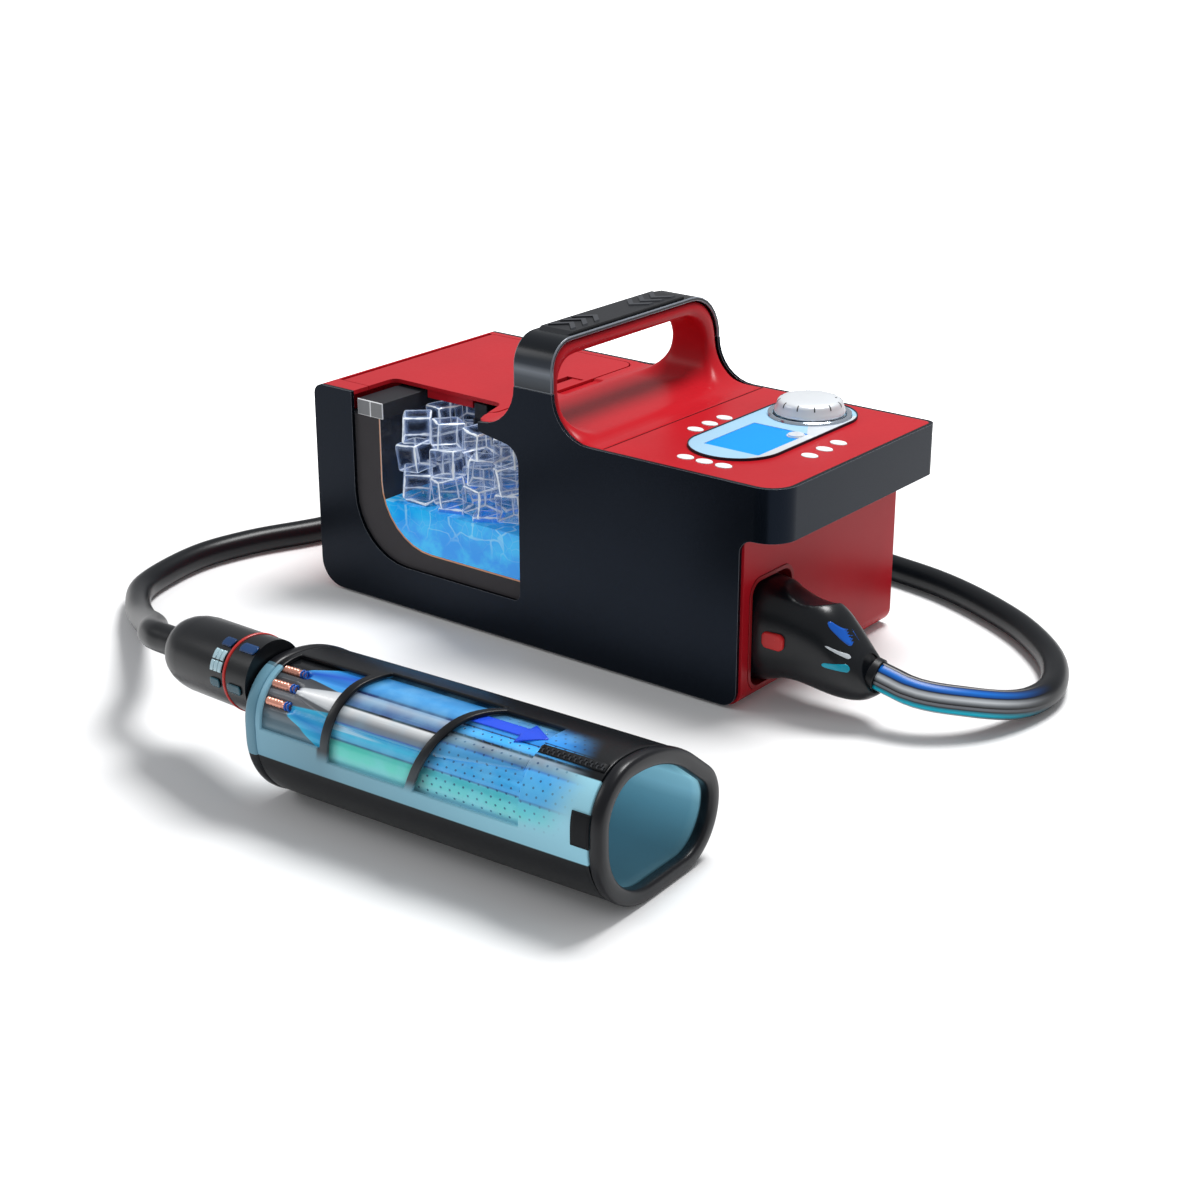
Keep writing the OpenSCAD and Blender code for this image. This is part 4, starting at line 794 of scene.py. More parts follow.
rim_grey = finish("rim plastic", (0.20, 0.205, 0.215), 0.4, specular=0.5)
speckle(rim_grey, 600, 0.08, spread=0.06, depth=0.03)
rim_highlight_and_rib = finish("rim polished edge", (0.85, 0.86, 0.88), 0.25, specular=0.6)
speckle(rim_highlight_and_rib, 600, 0.03, spread=0.03)
rim_painted_shade = finish("shaded rim", (0.022, 0.023, 0.027), 0.45, specular=0.2)
speckle(rim_painted_shade, 600, 0.05, spread=0.05)
# Painted highlight and shade: the rim's rounded edges are painted near white, and its faces behind the cut
# and far from the front corner take a near black copy of its grey.
rim = rounded_copy("tank_rim_moulding", "tank_rim", 0.6, (rim_grey, rim_highlight_and_rib, rim_painted_shade), 1)
rim_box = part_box("tank_rim")
for polygon in rim.data.polygons:
    x, y, z = polygon.center
    if y > cut_face_y + 1.2 * mm or x > rim_box[0][0] + 40 * mm:
        polygon.material_index = 2


def bar(name, low, high, round_by, *materials):
    """A small rectangular bar between two corners, with its edges rounded."""
    bm = bmesh.new()
    bmesh.ops.create_cube(bm, size=1)
    for v in bm.verts:
        v.co = Vector((low[i] + (high[i] - low[i]) * (v.co[i] + 0.5) for i in range(3)))
    bmesh.ops.bevel(bm, geom=bm.edges, offset=round_by, segments=2, affect="EDGES", profile=0.5)
    bmesh.ops.recalc_face_normals(bm, faces=bm.faces)
    for face in bm.faces:
        face.smooth = True
    mesh = bpy.data.meshes.new(name)
    bm.to_mesh(mesh)
    bm.free()
    return piece(name, mesh, *materials)


# The rim's front wall has a bright rib down its face where its two halves meet.
rib_x = rim_box[0][0] + 13 * mm
rim_rib = bar("rim_rib", (rib_x - 0.6 * mm, cut_face_y - 0.25 * mm, rim_box[0][2]),
              (rib_x + 0.6 * mm, cut_face_y + 1 * mm, rim_box[1][2] - 0.4 * mm), 0.2 * mm, rim_highlight_and_rib)
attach(rim_rib, "machine")

# ---- Iced water ----
# Bright blue coolant stands in the liner with its section at the cut. Painted light: pale caustic
# lines and bright outlines of sunken cubes run through its upper part, it is painted lighter towards its
# surface over a mottled blue, and it gives out a little light of its own.
water = finish("iced water", (0.004, 0.36, 0.92), 0.08, specular=0.5)
nodes_at = add(water, "ShaderNodeTexCoord")
wobble = add(water, "ShaderNodeTexNoise", Scale=34.0, Detail=2.0)
join(water, nodes_at.outputs["Object"], wobble.inputs["Vector"])
shift = add(water, "ShaderNodeVectorMath", operation="MULTIPLY_ADD")
shift.inputs[1].default_value = (0.012, 0.012, 0.012)
join(water, wobble.outputs["Color"], shift.inputs[0])
join(water, nodes_at.outputs["Object"], shift.inputs[2])


def edge_lines(material, vector, scale, low, high, boxy):
    """Thin bright lines between the cells of a cell pattern."""
    if boxy:
        first = add(material, "ShaderNodeTexVoronoi", feature="F1", distance="CHEBYCHEV")
        second = add(material, "ShaderNodeTexVoronoi", feature="F2", distance="CHEBYCHEV")
        apart = add(material, "ShaderNodeMath", operation="SUBTRACT")
        for cells in (first, second):
            cells.inputs["Scale"].default_value = scale
            cells.inputs["Randomness"].default_value = 0.8
            join(material, vector, cells.inputs["Vector"])
        join(material, second.outputs["Distance"], apart.inputs[0])
        join(material, first.outputs["Distance"], apart.inputs[1])
        source = apart.outputs[0]
    else:
        cells = add(material, "ShaderNodeTexVoronoi", feature="DISTANCE_TO_EDGE")
        cells.inputs["Scale"].default_value = scale
        join(material, vector, cells.inputs["Vector"])
        source = cells.outputs["Distance"]
    line = add(material, "ShaderNodeMapRange", interpolation_type="SMOOTHSTEP")
    line.inputs["From Min"].default_value = high
    line.inputs["From Max"].default_value = low
    join(material, source, line.inputs["Value"])
    return line.outputs["Result"]


def blended(material, fac, a, b):
    """One colour over another by a factor; a and b are colours or sockets."""
    mixed = add(material, "ShaderNodeMix", data_type="RGBA")
    for value, socket in ((a, mixed.inputs[6]), (b, mixed.inputs[7])):
        if isinstance(value, tuple):
            socket.default_value = (*value, 1)
        else:
            join(material, value, socket)
    if isinstance(fac, float):
        mixed.inputs[0].default_value = fac
    else:
        join(material, fac, mixed.inputs[0])
    return mixed.outputs[2]


def maths(material, operation, a, b=0.0, clamp=False):
    node = add(material, "ShaderNodeMath", operation=operation)
    node.use_clamp = clamp
    for value, socket in ((a, node.inputs[0]), (b, node.inputs[1])):
        if isinstance(value, (int, float)):
            socket.default_value = value
        else:
            join(material, value, socket)
    return node.outputs[0]


def ramped(material, value, low, high, smooth=True):
    """A value's place between low and high, from 0 to 1."""
    node = add(material, "ShaderNodeMapRange")
    node.interpolation_type = "SMOOTHSTEP" if smooth else "LINEAR"
    node.inputs["From Min"].default_value = low
    node.inputs["From Max"].default_value = high
    join(material, value, node.inputs["Value"])
    return node.outputs["Result"]


parts = add(water, "ShaderNodeSeparateXYZ")
join(water, nodes_at.outputs["Object"], parts.inputs[0])
height = parts.outputs["Z"]
# Painted light: the top 26 mm are lightened, and the caustic and cube-edge lines are painted in there.
near_top = ramped(water, height, water_top - 26 * mm, water_top - 4 * mm)
sunken_cube_highlight = edge_lines(water, shift.outputs[0], 42.0, 0.0, 0.06, True)
caustic = edge_lines(water, shift.outputs[0], 95.0, 0.0, 0.045, False)
cloud = add(water, "ShaderNodeTexNoise", Scale=48.0, Detail=5.0, Roughness=0.6)
join(water, shift.outputs[0], cloud.inputs["Vector"])
deep = blended(water, ramped(water, cloud.outputs["Fac"], 0.42, 0.68), (0.002, 0.30, 0.88),
               (0.02, 0.50, 0.98))
body = blended(water, maths(water, "MULTIPLY", near_top, 0.35), deep, (0.03, 0.47, 0.95))
lines = maths(water, "ADD", maths(water, "MULTIPLY", sunken_cube_highlight, 0.5),
              maths(water, "MULTIPLY", caustic, 0.12))
lines = maths(water, "MULTIPLY", lines, maths(water, "MULTIPLY", near_top, 0.9), clamp=True)
water_colour = blended(water, lines, body, (0.45, 0.84, 1.0))
join(water, water_colour, shader_of(water).inputs["Base Color"])
# Painted light: the water glows a little with its own colour.
join(water, water_colour, shader_of(water).inputs["Emission Color"])
shader_of(water).inputs["Emission Strength"].default_value = 0.22
ripple = add(water, "ShaderNodeTexNoise", Scale=110.0, Detail=2.0)
join(water, nodes_at.outputs["Object"], ripple.inputs["Vector"])
ripple_bump = add(water, "ShaderNodeBump", Strength=0.25, Distance=0.4 * mm)
join(water, ripple.outputs["Fac"], ripple_bump.inputs["Height"])
join(water, ripple_bump.outputs["Normal"], shader_of(water).inputs["Normal"])
pool = rounded_copy("iced_water_body", "coolant_water", 0.25, (water,), limit=60)

# ---- Ice cubes ----
# Clear moulded cubes about 21 mm across, melted round at the edges and heaped at odd angles.
# Their rims are painted white as highlights, their flanks are pale blue, the dark tank shows through, and
# they give out a little light of their own.
ice = finish("clear ice", (0.5, 0.62, 0.85), 0.06, specular=0.8)
ice_map = add(ice, "ShaderNodeUVMap", uv_map="UVMap")
ice_at = add(ice, "ShaderNodeTexCoord")
ice_noise = add(ice, "ShaderNodeTexNoise", Scale=130.0, Detail=3.0)
join(ice, ice_at.outputs["Object"], ice_noise.inputs["Vector"])
face_uv = add(ice, "ShaderNodeSeparateXYZ")
join(ice, ice_map.outputs["UV"], face_uv.inputs[0])
u_in = maths(ice, "MINIMUM", face_uv.outputs["X"], maths(ice, "SUBTRACT", 1.0, face_uv.outputs["X"]))
v_in = maths(ice, "MINIMUM", face_uv.outputs["Y"], maths(ice, "SUBTRACT", 1.0, face_uv.outputs["Y"]))
from_edge = maths(ice, "ADD", maths(ice, "MINIMUM", u_in, v_in),
                  maths(ice, "MULTIPLY", maths(ice, "SUBTRACT", ice_noise.outputs["Fac"], 0.5), 0.16))
rim_light = ramped(ice, from_edge, 0.075, 0.03)
flank = ramped(ice, from_edge, 0.26, 0.09)
ice_colour = blended(ice, flank, (0.035, 0.055, 0.12), (0.26, 0.38, 0.66))
ice_colour = blended(ice, rim_light, ice_colour, (0.88, 0.94, 1.0))
join(ice, ice_colour, shader_of(ice).inputs["Base Color"])
# Painted light: the ice glows a little with its own colour.
join(ice, ice_colour, shader_of(ice).inputs["Emission Color"])
shader_of(ice).inputs["Emission Strength"].default_value = 0.18
streak = ramped(ice, ice_noise.outputs["Fac"], 0.58, 0.74)
alpha = maths(ice, "ADD", maths(ice, "MULTIPLY", flank, 0.26), maths(ice, "MULTIPLY", rim_light, 0.6))
alpha = maths(ice, "ADD", alpha, maths(ice, "MULTIPLY", streak, 0.3))
join(ice, maths(ice, "ADD", alpha, 0.10, clamp=True), shader_of(ice).inputs["Alpha"])

ice_edge = 21 * mm
ice_round = 2.4 * mm
face_steps = [-1, -0.94, -0.86, -0.76, -0.4, 0, 0.4, 0.76, 0.86, 0.94, 1]


def ice_cube(bm, uv, centre, turns, seed):
    """One melted cube, its faces mapped from edge to edge."""
    half = ice_edge / 2
    turn = (Matrix.Rotation(turns[2], 3, "Z") @ Matrix.Rotation(turns[0], 3, "X")
            @ Matrix.Rotation(turns[1], 3, "Y"))
    for axis in range(3):
        for side in (-1, 1):
            grid = []
            for a in face_steps:
                row = []
                for b in face_steps:
                    p = Vector((0, 0, 0))
                    p[axis], p[(axis + 1) % 3], p[(axis + 2) % 3] = side, a, b
                    p *= half
                    core = Vector([max(-half + ice_round, min(half - ice_round, c)) for c in p])
                    p = core + (p - core).normalized() * ice_round
                    p += noise.noise_vector(p * 70 + Vector((seed, 0, 0))) * 1.1 * mm
                    row.append(bm.verts.new(centre + turn @ p))
                grid.append(row)
            n = len(face_steps) - 1
            for i in range(n):
                for j in range(n):
                    face = bm.faces.new((grid[i][j], grid[i + 1][j], grid[i + 1][j + 1], grid[i][j + 1]))
                    face.smooth = True
                    corners = ((i, j), (i + 1, j), (i + 1, j + 1), (i, j + 1))
                    for loop, (s, t) in zip(face.loops, corners):
                        loop[uv].uv = (face_steps[s] / 2 + 0.5, face_steps[t] / 2 + 0.5)


ice_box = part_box("ice_cubes")
# Unless it is given a seed, the noise starts from the clock and the ice differs each run
noise.seed_set(11)
heap = random.Random(11)
bm = bmesh.new()
uv = bm.loops.layers.uv.new("UVMap")
ice_level = ice_box[0][2] + ice_edge / 2
ice_left = ice_box[0][0] + 0.71 * ice_edge
ice_front = ice_box[0][1] + 0.71 * ice_edge
pitch = 1.45 * ice_edge
cube_number = 0
mouth_right = -91 * mm
notch_back = -54 * mm
for layer in range(4):
    for j in range(5):
        for i in range(4):
            x = ice_left + i * pitch + (5 * mm if layer == 0 else 0)
            y = ice_front + j * pitch
            reach = 0.6 * ice_edge
            if x > ice_box[1][0] - reach or y > ice_box[1][1] - reach:
                continue
            # The top layer stands in the mouth, or in front of it where the ceiling is cut away
            if layer == 3 and (y > -16 * mm or (x + reach > mouth_right and y + reach > notch_back)):
                continue
            tilt = (0.05, 0.14, 0.2, 0.1)[layer]
            drift = (1.0, 3.0, 3.0, 1.0)[layer]
            centre = Vector((x + heap.uniform(0, drift) * mm, y + heap.uniform(-drift, drift) * mm,
                             ice_level + layer * (ice_edge + 0.2 * mm) - 0.4 * mm * (layer == 3)))
            ice_cube(bm, uv, centre, (heap.uniform(-tilt, tilt), heap.uniform(-tilt, tilt),
                                      math.radians(17 * i + 31 * j + 43 * layer)), cube_number)
            cube_number += 1
bmesh.ops.remove_doubles(bm, verts=bm.verts, dist=0.01 * mm)
bmesh.ops.recalc_face_normals(bm, faces=bm.faces)
ice_mesh = bpy.data.meshes.new("ice_heap")
bm.to_mesh(ice_mesh)
bm.free()
ice_heap = piece("ice_heap", ice_mesh, ice)
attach(ice_heap, "machine")
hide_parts("ice_cubes")

# ---- Works ----
# Pump, air pump, valve block, lines and circuit board stand behind the reservoir, out of sight
# in use. The filter stands in the water and the encoder carries the dial.
for name, material in (
        ("water_pump", finish("pump body", (0.045, 0.05, 0.06), 0.45)),
        ("air_pump", finish("air pump body", (0.09, 0.095, 0.105), 0.4)),
        ("valve_manifold", finish("valve block", (0.34, 0.36, 0.38), 0.35, metallic=0.6)),
        ("coolant_lines", finish("blue line", (0.03, 0.22, 0.62), 0.35)),
        ("main_board", finish("circuit board", (0.015, 0.14, 0.05), 0.45)),
        ("dial_encoder", finish("encoder body", (0.11, 0.115, 0.13), 0.45)),
        ("dial_plunger", finish("plunger plastic", (0.58, 0.6, 0.63), 0.4)),
        ("intake_filter", finish("filter mesh", (0.62, 0.64, 0.66), 0.6)),
        ("dial_shaft", finish("shaft steel", (0.55, 0.56, 0.58), 0.28, metallic=1.0))):
    speckle(material, 500, 0.12, spread=0.08, depth=0.04)
    cad[name].data.materials.clear()
    cad[name].data.materials.append(material)
# ---- Hose plug ----
# A hand-filling plug of satin black plastic, oval at the socket and bulging at the nose, with a
# thumb scoop in its back. It pushes into the socket, and a red key on its side lets it go again.
nose_aim = (hose_line[1] - hose_line[0]).normalized()
# Sections: distance along x, centre y, top, bottom, half width, all in millimetres
plug_sections = [
    (168, -62, 86.5, 13.5, 22.4), (173, -62, 86.3, 13.7, 22.8), (178, -62, 86, 14, 23),
    (188, -62, 84.5, 17, 22.6), (196, -62, 83, 19.5, 21.8),
    (206, -62, 81, 20, 21), (216, -62, 79.5, 18.8, 20.6), (226, -61.5, 77.5, 16.8, 20.4),
    (235, -61, 72.5, 15.6, 20), (243, -60.6, 66, 16, 19), (250, -60.4, 59, 18.5, 17),
    (256, -60.3, 52.5, 23, 14)
]
plug_sides = 72


def eased(table, x):
    """Every column of the sections at x, on a smooth curve."""
    n = len(table)
    i = max(k for k in range(n - 1) if table[k][0] <= x + 1e-6)
    a, b = table[i], table[i + 1]
    before, after = table[max(i - 1, 0)], table[min(i + 2, n - 1)]
    t = (x - a[0]) / (b[0] - a[0])
    values = []
    for c in range(1, len(a)):
        m0 = (b[c] - before[c]) / (b[0] - before[0]) * (b[0] - a[0])
        m1 = (after[c] - a[c]) / (after[0] - a[0]) * (b[0] - a[0])
        values.append((2 * t**3 - 3 * t**2 + 1) * a[c] + (t**3 - 2 * t**2 + t) * m0
                      + (3 * t**2 - 2 * t**3) * b[c] + (t**3 - t**2) * m1)
    return values


def plug_surface(x, turn):
    """A point of the plug's skin in metres; the turn starts at its +Y side."""
    y, top, low, half = eased(plug_sections, x)
    power = 2.8 if x < 200 else 2.8 - 0.6 * min((x - 200) / 40, 1)
    c, s = math.cos(turn), math.sin(turn)
    w = abs(c)**(2 / power) * (1 if c > 0 else -1)
    h = abs(s)**(2 / power) * (1 if s > 0 else -1)
    py = y + half * w
    pz = (top + low) / 2 + (top - low) / 2 * h
    # The thumb scoop, cut in from the back with a crisp rim towards the front
    across = (py - y - 7) / 19
    along = (x - 207) / 19
    reach = across * across + along * along
    if s > 0 and reach < 1:
        pz -= 3.6 * (1 - reach)**0.6
    # The nose plane turns with the hose
    lean = max(0.0, min(1.0, (x - 222) / 34))
    px = x - lean * lean * 0.42 * (pz - 37.7)
    return Vector((px, py, pz)) * mm


def plug_mesh():
    xs = [168 + 88 * k / 90 for k in range(91)]
    bm = bmesh.new()
    rings = [[bm.verts.new(plug_surface(x, math.tau * k / plug_sides)) for k in range(plug_sides)]
             for x in xs]
    inner = []
    for ring in (rings[-1],):
        middle = sum((v.co for v in ring), Vector()) / len(ring)
        for share, depth in ((0.9, 1.2), (0.78, 1.4), (0.74, 0.2)):
            inner.append([bm.verts.new(middle + (v.co - middle) * share + nose_aim * depth * mm)
                          for v in ring])
    rings += inner
    for a, b in zip(rings, rings[1:]):
        for k in range(plug_sides):
            j = (k + 1) % plug_sides
            bm.faces.new((a[k], b[k], b[j], a[j]))
    bm.faces.new(rings[0])
    bm.faces.new(list(reversed(rings[-1])))
    bmesh.ops.recalc_face_normals(bm, faces=bm.faces)
    for face in bm.faces:
        face.smooth = True
    for edge in bm.edges:
        edge.smooth = len(edge.link_faces) == 2 and edge.calc_face_angle(0) < math.radians(50)
    mesh = bpy.data.meshes.new("plug_moulding")
    bm.to_mesh(mesh)
    bm.free()
    return mesh


plug_finish = finish("satin plug plastic", (0.0035, 0.0048, 0.0070), 0.3, specular=0.42)
speckle(plug_finish, 700, 0.06, spread=0.15, depth=0.015)
plug = piece("plug_moulding", plug_mesh(), plug_finish)
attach(plug, "machine")
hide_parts("plug_shell")

# The socket's lip shows as a thin red line round the plug, and the release key sits on its side.
socket_red = finish("socket lip", (0.30, 0.012, 0.016), 0.3, specular=0.25)
speckle(socket_red, 500, 0.04)
socket = rounded_copy("hose_socket_moulding", "hose_socket", 0.5, (socket_red,))
key_red = finish("release key", (0.55, 0.020, 0.022), 0.26, specular=0.3)
speckle(key_red, 500, 0.03)
release = rounded_copy("release_key", "release_button", 1.1, (key_red,), steps=4, body="release")
boot_rubber = finish("boot rubber", (0.006, 0.007, 0.009), 0.4, specular=0.25)
speckle(boot_rubber, 500, 0.1)
boot = rounded_copy("hose_boot", "plug_boot", 0.8, (boot_rubber,))


def side_of_plug(x, z):
    """The plug's skin at x and a height, on the side that faces the viewer."""
    y, top, low, half = eased(plug_sections, x)
    middle = (top + low) / 2
    share = max(-1.0, min(1.0, (z - middle) / ((top - low) / 2)))
    power = 2.8 if x < 200 else 2.8 - 0.6 * min((x - 200) / 40, 1)
    across = (1 - abs(share)**power)**(1 / power)
    turn = math.pi - math.atan2(math.copysign(abs(share)**(power / 2), share), across**(power / 2))
    return plug_surface(x, turn)


def plug_line(name, start, end, from_half, to_half, material, slot):
    """A coloured strip let into the plug's flank, which widens along its way."""
    bm = bmesh.new()
    steps, wide = 16, 6
    grid = []
    for i in range(steps + 1):
        share = i / steps
        x = start[0] + (end[0] - start[0]) * share
        z = start[1] + (end[1] - start[1]) * share
        half = (from_half + (to_half - from_half) * share) * min(1.0, 0.25 + 3 * math.sin(math.pi * share))
        line = []
        for k in range(wide + 1):
            point = side_of_plug(x, z + half * (2 * k / wide - 1))
            line.append(bm.verts.new(point + Vector((0, -0.25 * mm, 0))))
        grid.append(line)
    for i in range(steps):
        for k in range(wide):
            face = bm.faces.new((grid[i][k], grid[i + 1][k], grid[i + 1][k + 1], grid[i][k + 1]))
            face.smooth = True
    if bm.faces[:][0].normal[1] > 0:
        bmesh.ops.reverse_faces(bm, faces=bm.faces)
    mesh = bpy.data.meshes.new(name)
    bm.to_mesh(mesh)
    bm.free()
    strip = piece(name, mesh, material)
    wall = strip.modifiers.new("thickness", "SOLIDIFY")
    wall.thickness = 0.8 * mm
    wall.offset = -1
    evaluated(strip)
    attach(strip, "machine")


for name, tint, start, end, widths, slot in (
        ("upper_line_mark", (0.006, 0.10, 0.50), (231, 70), (252, 57.5), (1.4, 3.0), "bladder_blue"),
        ("middle_line_mark", (0.58, 0.62, 0.66), (233, 56), (252, 50.0), (0.6, 1.5), "white_plastic"),
        ("lower_line_mark", (0.003, 0.34, 0.48), (231, 43), (251, 43.5), (1.4, 2.8), "lining_teal")):
    mark_tint = finish(name, tint, 0.22, specular=0.4)
    speckle(mark_tint, 300, 0.04, spread=0.3)
    plug_line(name, start, end, *widths, mark_tint, slot)

# ---- Wrap connector ----
# A round connector of satin black plastic joins the hose to the wrap. An orange-red ring marks
# it, a window shows the coolant, and blue and teal strips let into it mark the two lines.
hose_last = hose_line[-1]
connector_dir = Vector((0.979, -0.175, 0.105)).normalized()
connector_side = connector_dir.cross(Vector((0, 0, 1))).normalized()
connector_top = connector_side.cross(connector_dir).normalized()
# The wrap lies turned 3 degrees from the machine; its own X runs from here to its open end
wrap_place = Matrix.Translation(Vector((24, -336, 0)) * mm) @ Matrix.Rotation(math.radians(3), 4, "Z")
shell_r = 24.0
ring_s = 86.0
# Distance from the hose's end and radius, in millimetres
shell_profile = [(0, 0), (0, 10.8), (0.8, 12.0), (3, 12.9), (6, 15.2), (9, 18.0), (13, 20.4), (18, 22.2),
                 (24, 23.4), (31, shell_r), (60, shell_r), (ring_s - 0.6, shell_r), (ring_s, 23.4),
                 (ring_s + 0.1, 22.7), (ring_s + 2.4, 22.7), (ring_s + 2.5, 23.4),
                 (ring_s + 3.1, shell_r), (104, shell_r), (120, 23.9), (120.4, 0)]


def on_connector(s, turn, r):
    """A point s along the connector, at a turn from its top towards the viewer. The end stops at
    the wrap's binding."""
    round_way = connector_top * math.cos(turn) + connector_side * math.sin(turn)
    point = hose_last + (connector_dir * s + round_way * r) * mm
    over = (wrap_place.inverted() @ point)[0] + 0.3 * mm
    if over > 0:
        point -= connector_dir * over / connector_dir.dot(wrap_place.to_3x3() @ Vector((1, 0, 0)))
    return point


def round_connector(name, profile, steps, *materials):
    """A shape turned on the connector's axis from (distance, radius) pairs."""
    bm = bmesh.new()
    rings = [[bm.verts.new(on_connector(s, math.tau * k / steps, r)) for k in range(steps)]
             if r else [bm.verts.new(on_connector(s, 0, 0))] for s, r in profile]
    for a, b in zip(rings, rings[1:]):
        for k in range(steps):
            j = (k + 1) % steps
            corners = [a[k % len(a)], a[j % len(a)], b[j % len(b)], b[k % len(b)]]
            bm.faces.new(list(dict.fromkeys(corners)))
    bmesh.ops.recalc_face_normals(bm, faces=bm.faces)
    for face in bm.faces:
        face.smooth = True
    for edge in bm.edges:
        edge.smooth = edge.calc_face_angle(0) < math.radians(35)
    mesh = bpy.data.meshes.new(name)
    bm.to_mesh(mesh)
    bm.free()
    return piece(name, mesh, *materials)


connector_black = finish("connector plastic", (0.004, 0.005, 0.007), 0.3, specular=0.35)
speckle(connector_black, 600, 0.04, spread=0.1)
shell = round_connector("connector_moulding", shell_profile, 96, connector_black)
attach(shell, "machine")
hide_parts("connector_shell")

ring_red = finish("orange ring", (0.62, 0.035, 0.03), 0.3, specular=0.3)
speckle(ring_red, 500, 0.05)
mark_ring = round_connector("connector_mark_ring", [
    (ring_s + 0.15, 22.8), (ring_s + 0.15, 24.2), (ring_s + 0.6, 24.6), (ring_s + 1.9, 24.6),
    (ring_s + 2.35, 24.2), (ring_s + 2.35, 22.8), (ring_s + 0.15, 22.8)], 96, ring_red)
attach(mark_ring, "machine")
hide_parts("connector_ring")


def let_in(name, start, end, from_turn, to_turn, high, material):
    """A strip let into the connector's skin, with rounded ends, standing a little proud of it."""
    bm = bmesh.new()
    along, round_it = 12, 6
    middle = math.radians((from_turn + to_turn) / 2)
    half = math.radians(abs(to_turn - from_turn) / 2)
    grid = []
    for i in range(along + 1):
        s = start + (end - start) * i / along
        share = min(1.0, math.sin(math.pi * i / along) * 3 + 0.35)
        grid.append([bm.verts.new(on_connector(s, middle + half * share * (2 * k / round_it - 1),
                                               shell_r + high)) for k in range(round_it + 1)])
    for i in range(along):
        for k in range(round_it):
            face = bm.faces.new((grid[i][k], grid[i + 1][k], grid[i + 1][k + 1], grid[i][k + 1]))
            face.smooth = True
    face = bm.faces[:][0]
    outward = face.calc_center_median() - (hose_last + connector_dir * (start + end) / 2 * mm)
    if face.normal.dot(outward) < 0:
        bmesh.ops.reverse_faces(bm, faces=bm.faces)
    mesh = bpy.data.meshes.new(name)
    bm.to_mesh(mesh)
    bm.free()
    strip = piece(name, mesh, material)
    wall = strip.modifiers.new("thickness", "SOLIDIFY")
    wall.thickness = 0.8 * mm
    wall.offset = -1
    evaluated(strip)
    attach(strip, "machine")
    return strip


strip_blue = finish("blue line mark", (0.008, 0.06, 0.20), 0.25, specular=0.4)
speckle(strip_blue, 300, 0.05, spread=0.35)
strip_teal = finish("teal line mark", (0.005, 0.10, 0.15), 0.25, specular=0.4)
speckle(strip_teal, 300, 0.05, spread=0.35)
pane_white = finish("lit window", (0.55, 0.80, 0.90), 0.12, specular=0.6)
speckle(pane_white, 300, 0.03, spread=0.15)
for place, (start, end) in enumerate(((74, 84.6), (93, 109))):
    let_in(f"blue_line_mark_{place + 1}", start, end, 22, 37, 0.25, strip_blue)
for place, (start, end) in enumerate(((73, 83), (92, 106))):
    let_in(f"teal_line_mark_{place + 1}", start, end, 86, 99, 0.25, strip_teal)
for i in range(3):
    for k in range(2):
        let_in(f"window_pane_{2 * i + k + 1}", 73 + 4.1 * i, 76.3 + 4.1 * i, 44 + 17 * k, 59 + 17 * k,
               0.3, pane_white)
tube_blue = finish("blue tube", (0.02, 0.25, 0.62), 0.3)
speckle(tube_blue, 400, 0.05)
for name in ("connector_tubes", "plug_tubes"):
    cad[name].data.materials.clear()
    cad[name].data.materials.append(tube_blue)
# ---- Wrap: its shape ----
# A quilted tube of laminated fabric that closes round the arm. From outside in it is a black and
# pale blue cover cut open in three windows, the water bladder with the air bladder along its
# shoulder, and a teal lining. A padded binding closes each end.
# Corners of the section seen from the open end: across, up, radius
wrap_corners = [(-60.5, 0, 50), (60.5, 0, 36), (60.5, 50, 28), (8, 92.5, 95), (-60.5, 92.5, 33)]
wrap_length = 258


def rounded_outline(corners, steps):
    """Points of a closed outline with round corners."""
    points = []
    count = len(corners)
    for i, (y, z, r) in enumerate(corners):
        here = Vector((y, z))
        back_way = (Vector(corners[i - 1][:2]) - here).normalized()
        on_way = (Vector(corners[(i + 1) % count][:2]) - here).normalized()
        half = math.acos(back_way.dot(on_way)) / 2
        middle = here + (back_way + on_way).normalized() * (r / math.sin(half))
        start = here + back_way * (r / math.tan(half)) - middle
        end = here + on_way * (r / math.tan(half)) - middle
        turn = start.angle_signed(end)
        for k in range(steps + 1):
            points.append(middle + Matrix.Rotation(-turn * k / steps, 2) @ start)
    return points


outline = rounded_outline(wrap_corners, 24)
outline_along = [0.0]
for a, b in zip(outline, outline[1:] + outline[:1]):
    outline_along.append(outline_along[-1] + (b - a).length)
wrap_round = outline_along[-1]
crown = max(range(len(outline)), key=lambda k: outline[k][1] + 0.001 * outline[k][0])
# Distances round the wrap start above the crown's corner
round_start = outline_along[crown] + outline[crown][0] - wrap_corners[3][0]


def section_at(v):
    """The section's point and outward normal at v millimetres round it from the crown, going
    down the side that faces the viewer."""
    s = (round_start + v) % wrap_round
    k = max(i for i in range(len(outline)) if outline_along[i] <= s + 1e-9)
    a, b = outline[k], outline[(k + 1) % len(outline)]
    span = outline_along[k + 1] - outline_along[k]
    share = (s - outline_along[k]) / span if span > 1e-9 else 0
    before, after = outline[k - 1], outline[(k + 2) % len(outline)]
    way = (b - before).normalized().lerp((after - a).normalized(), share)
    if way.length < 1e-6:
        way = b - a
    way.normalize()
    point = a.lerp(b, share)
    return point, Vector((way[1], -way[0]))


def wrap_point(x, v, depth):
    """A point in metres at x along the wrap, v round it, and a depth under its outer face."""
    point, outward = section_at(v)
    across, up = point - outward * (depth / mm)
    return wrap_place @ Vector((x, across * mm, up * mm))


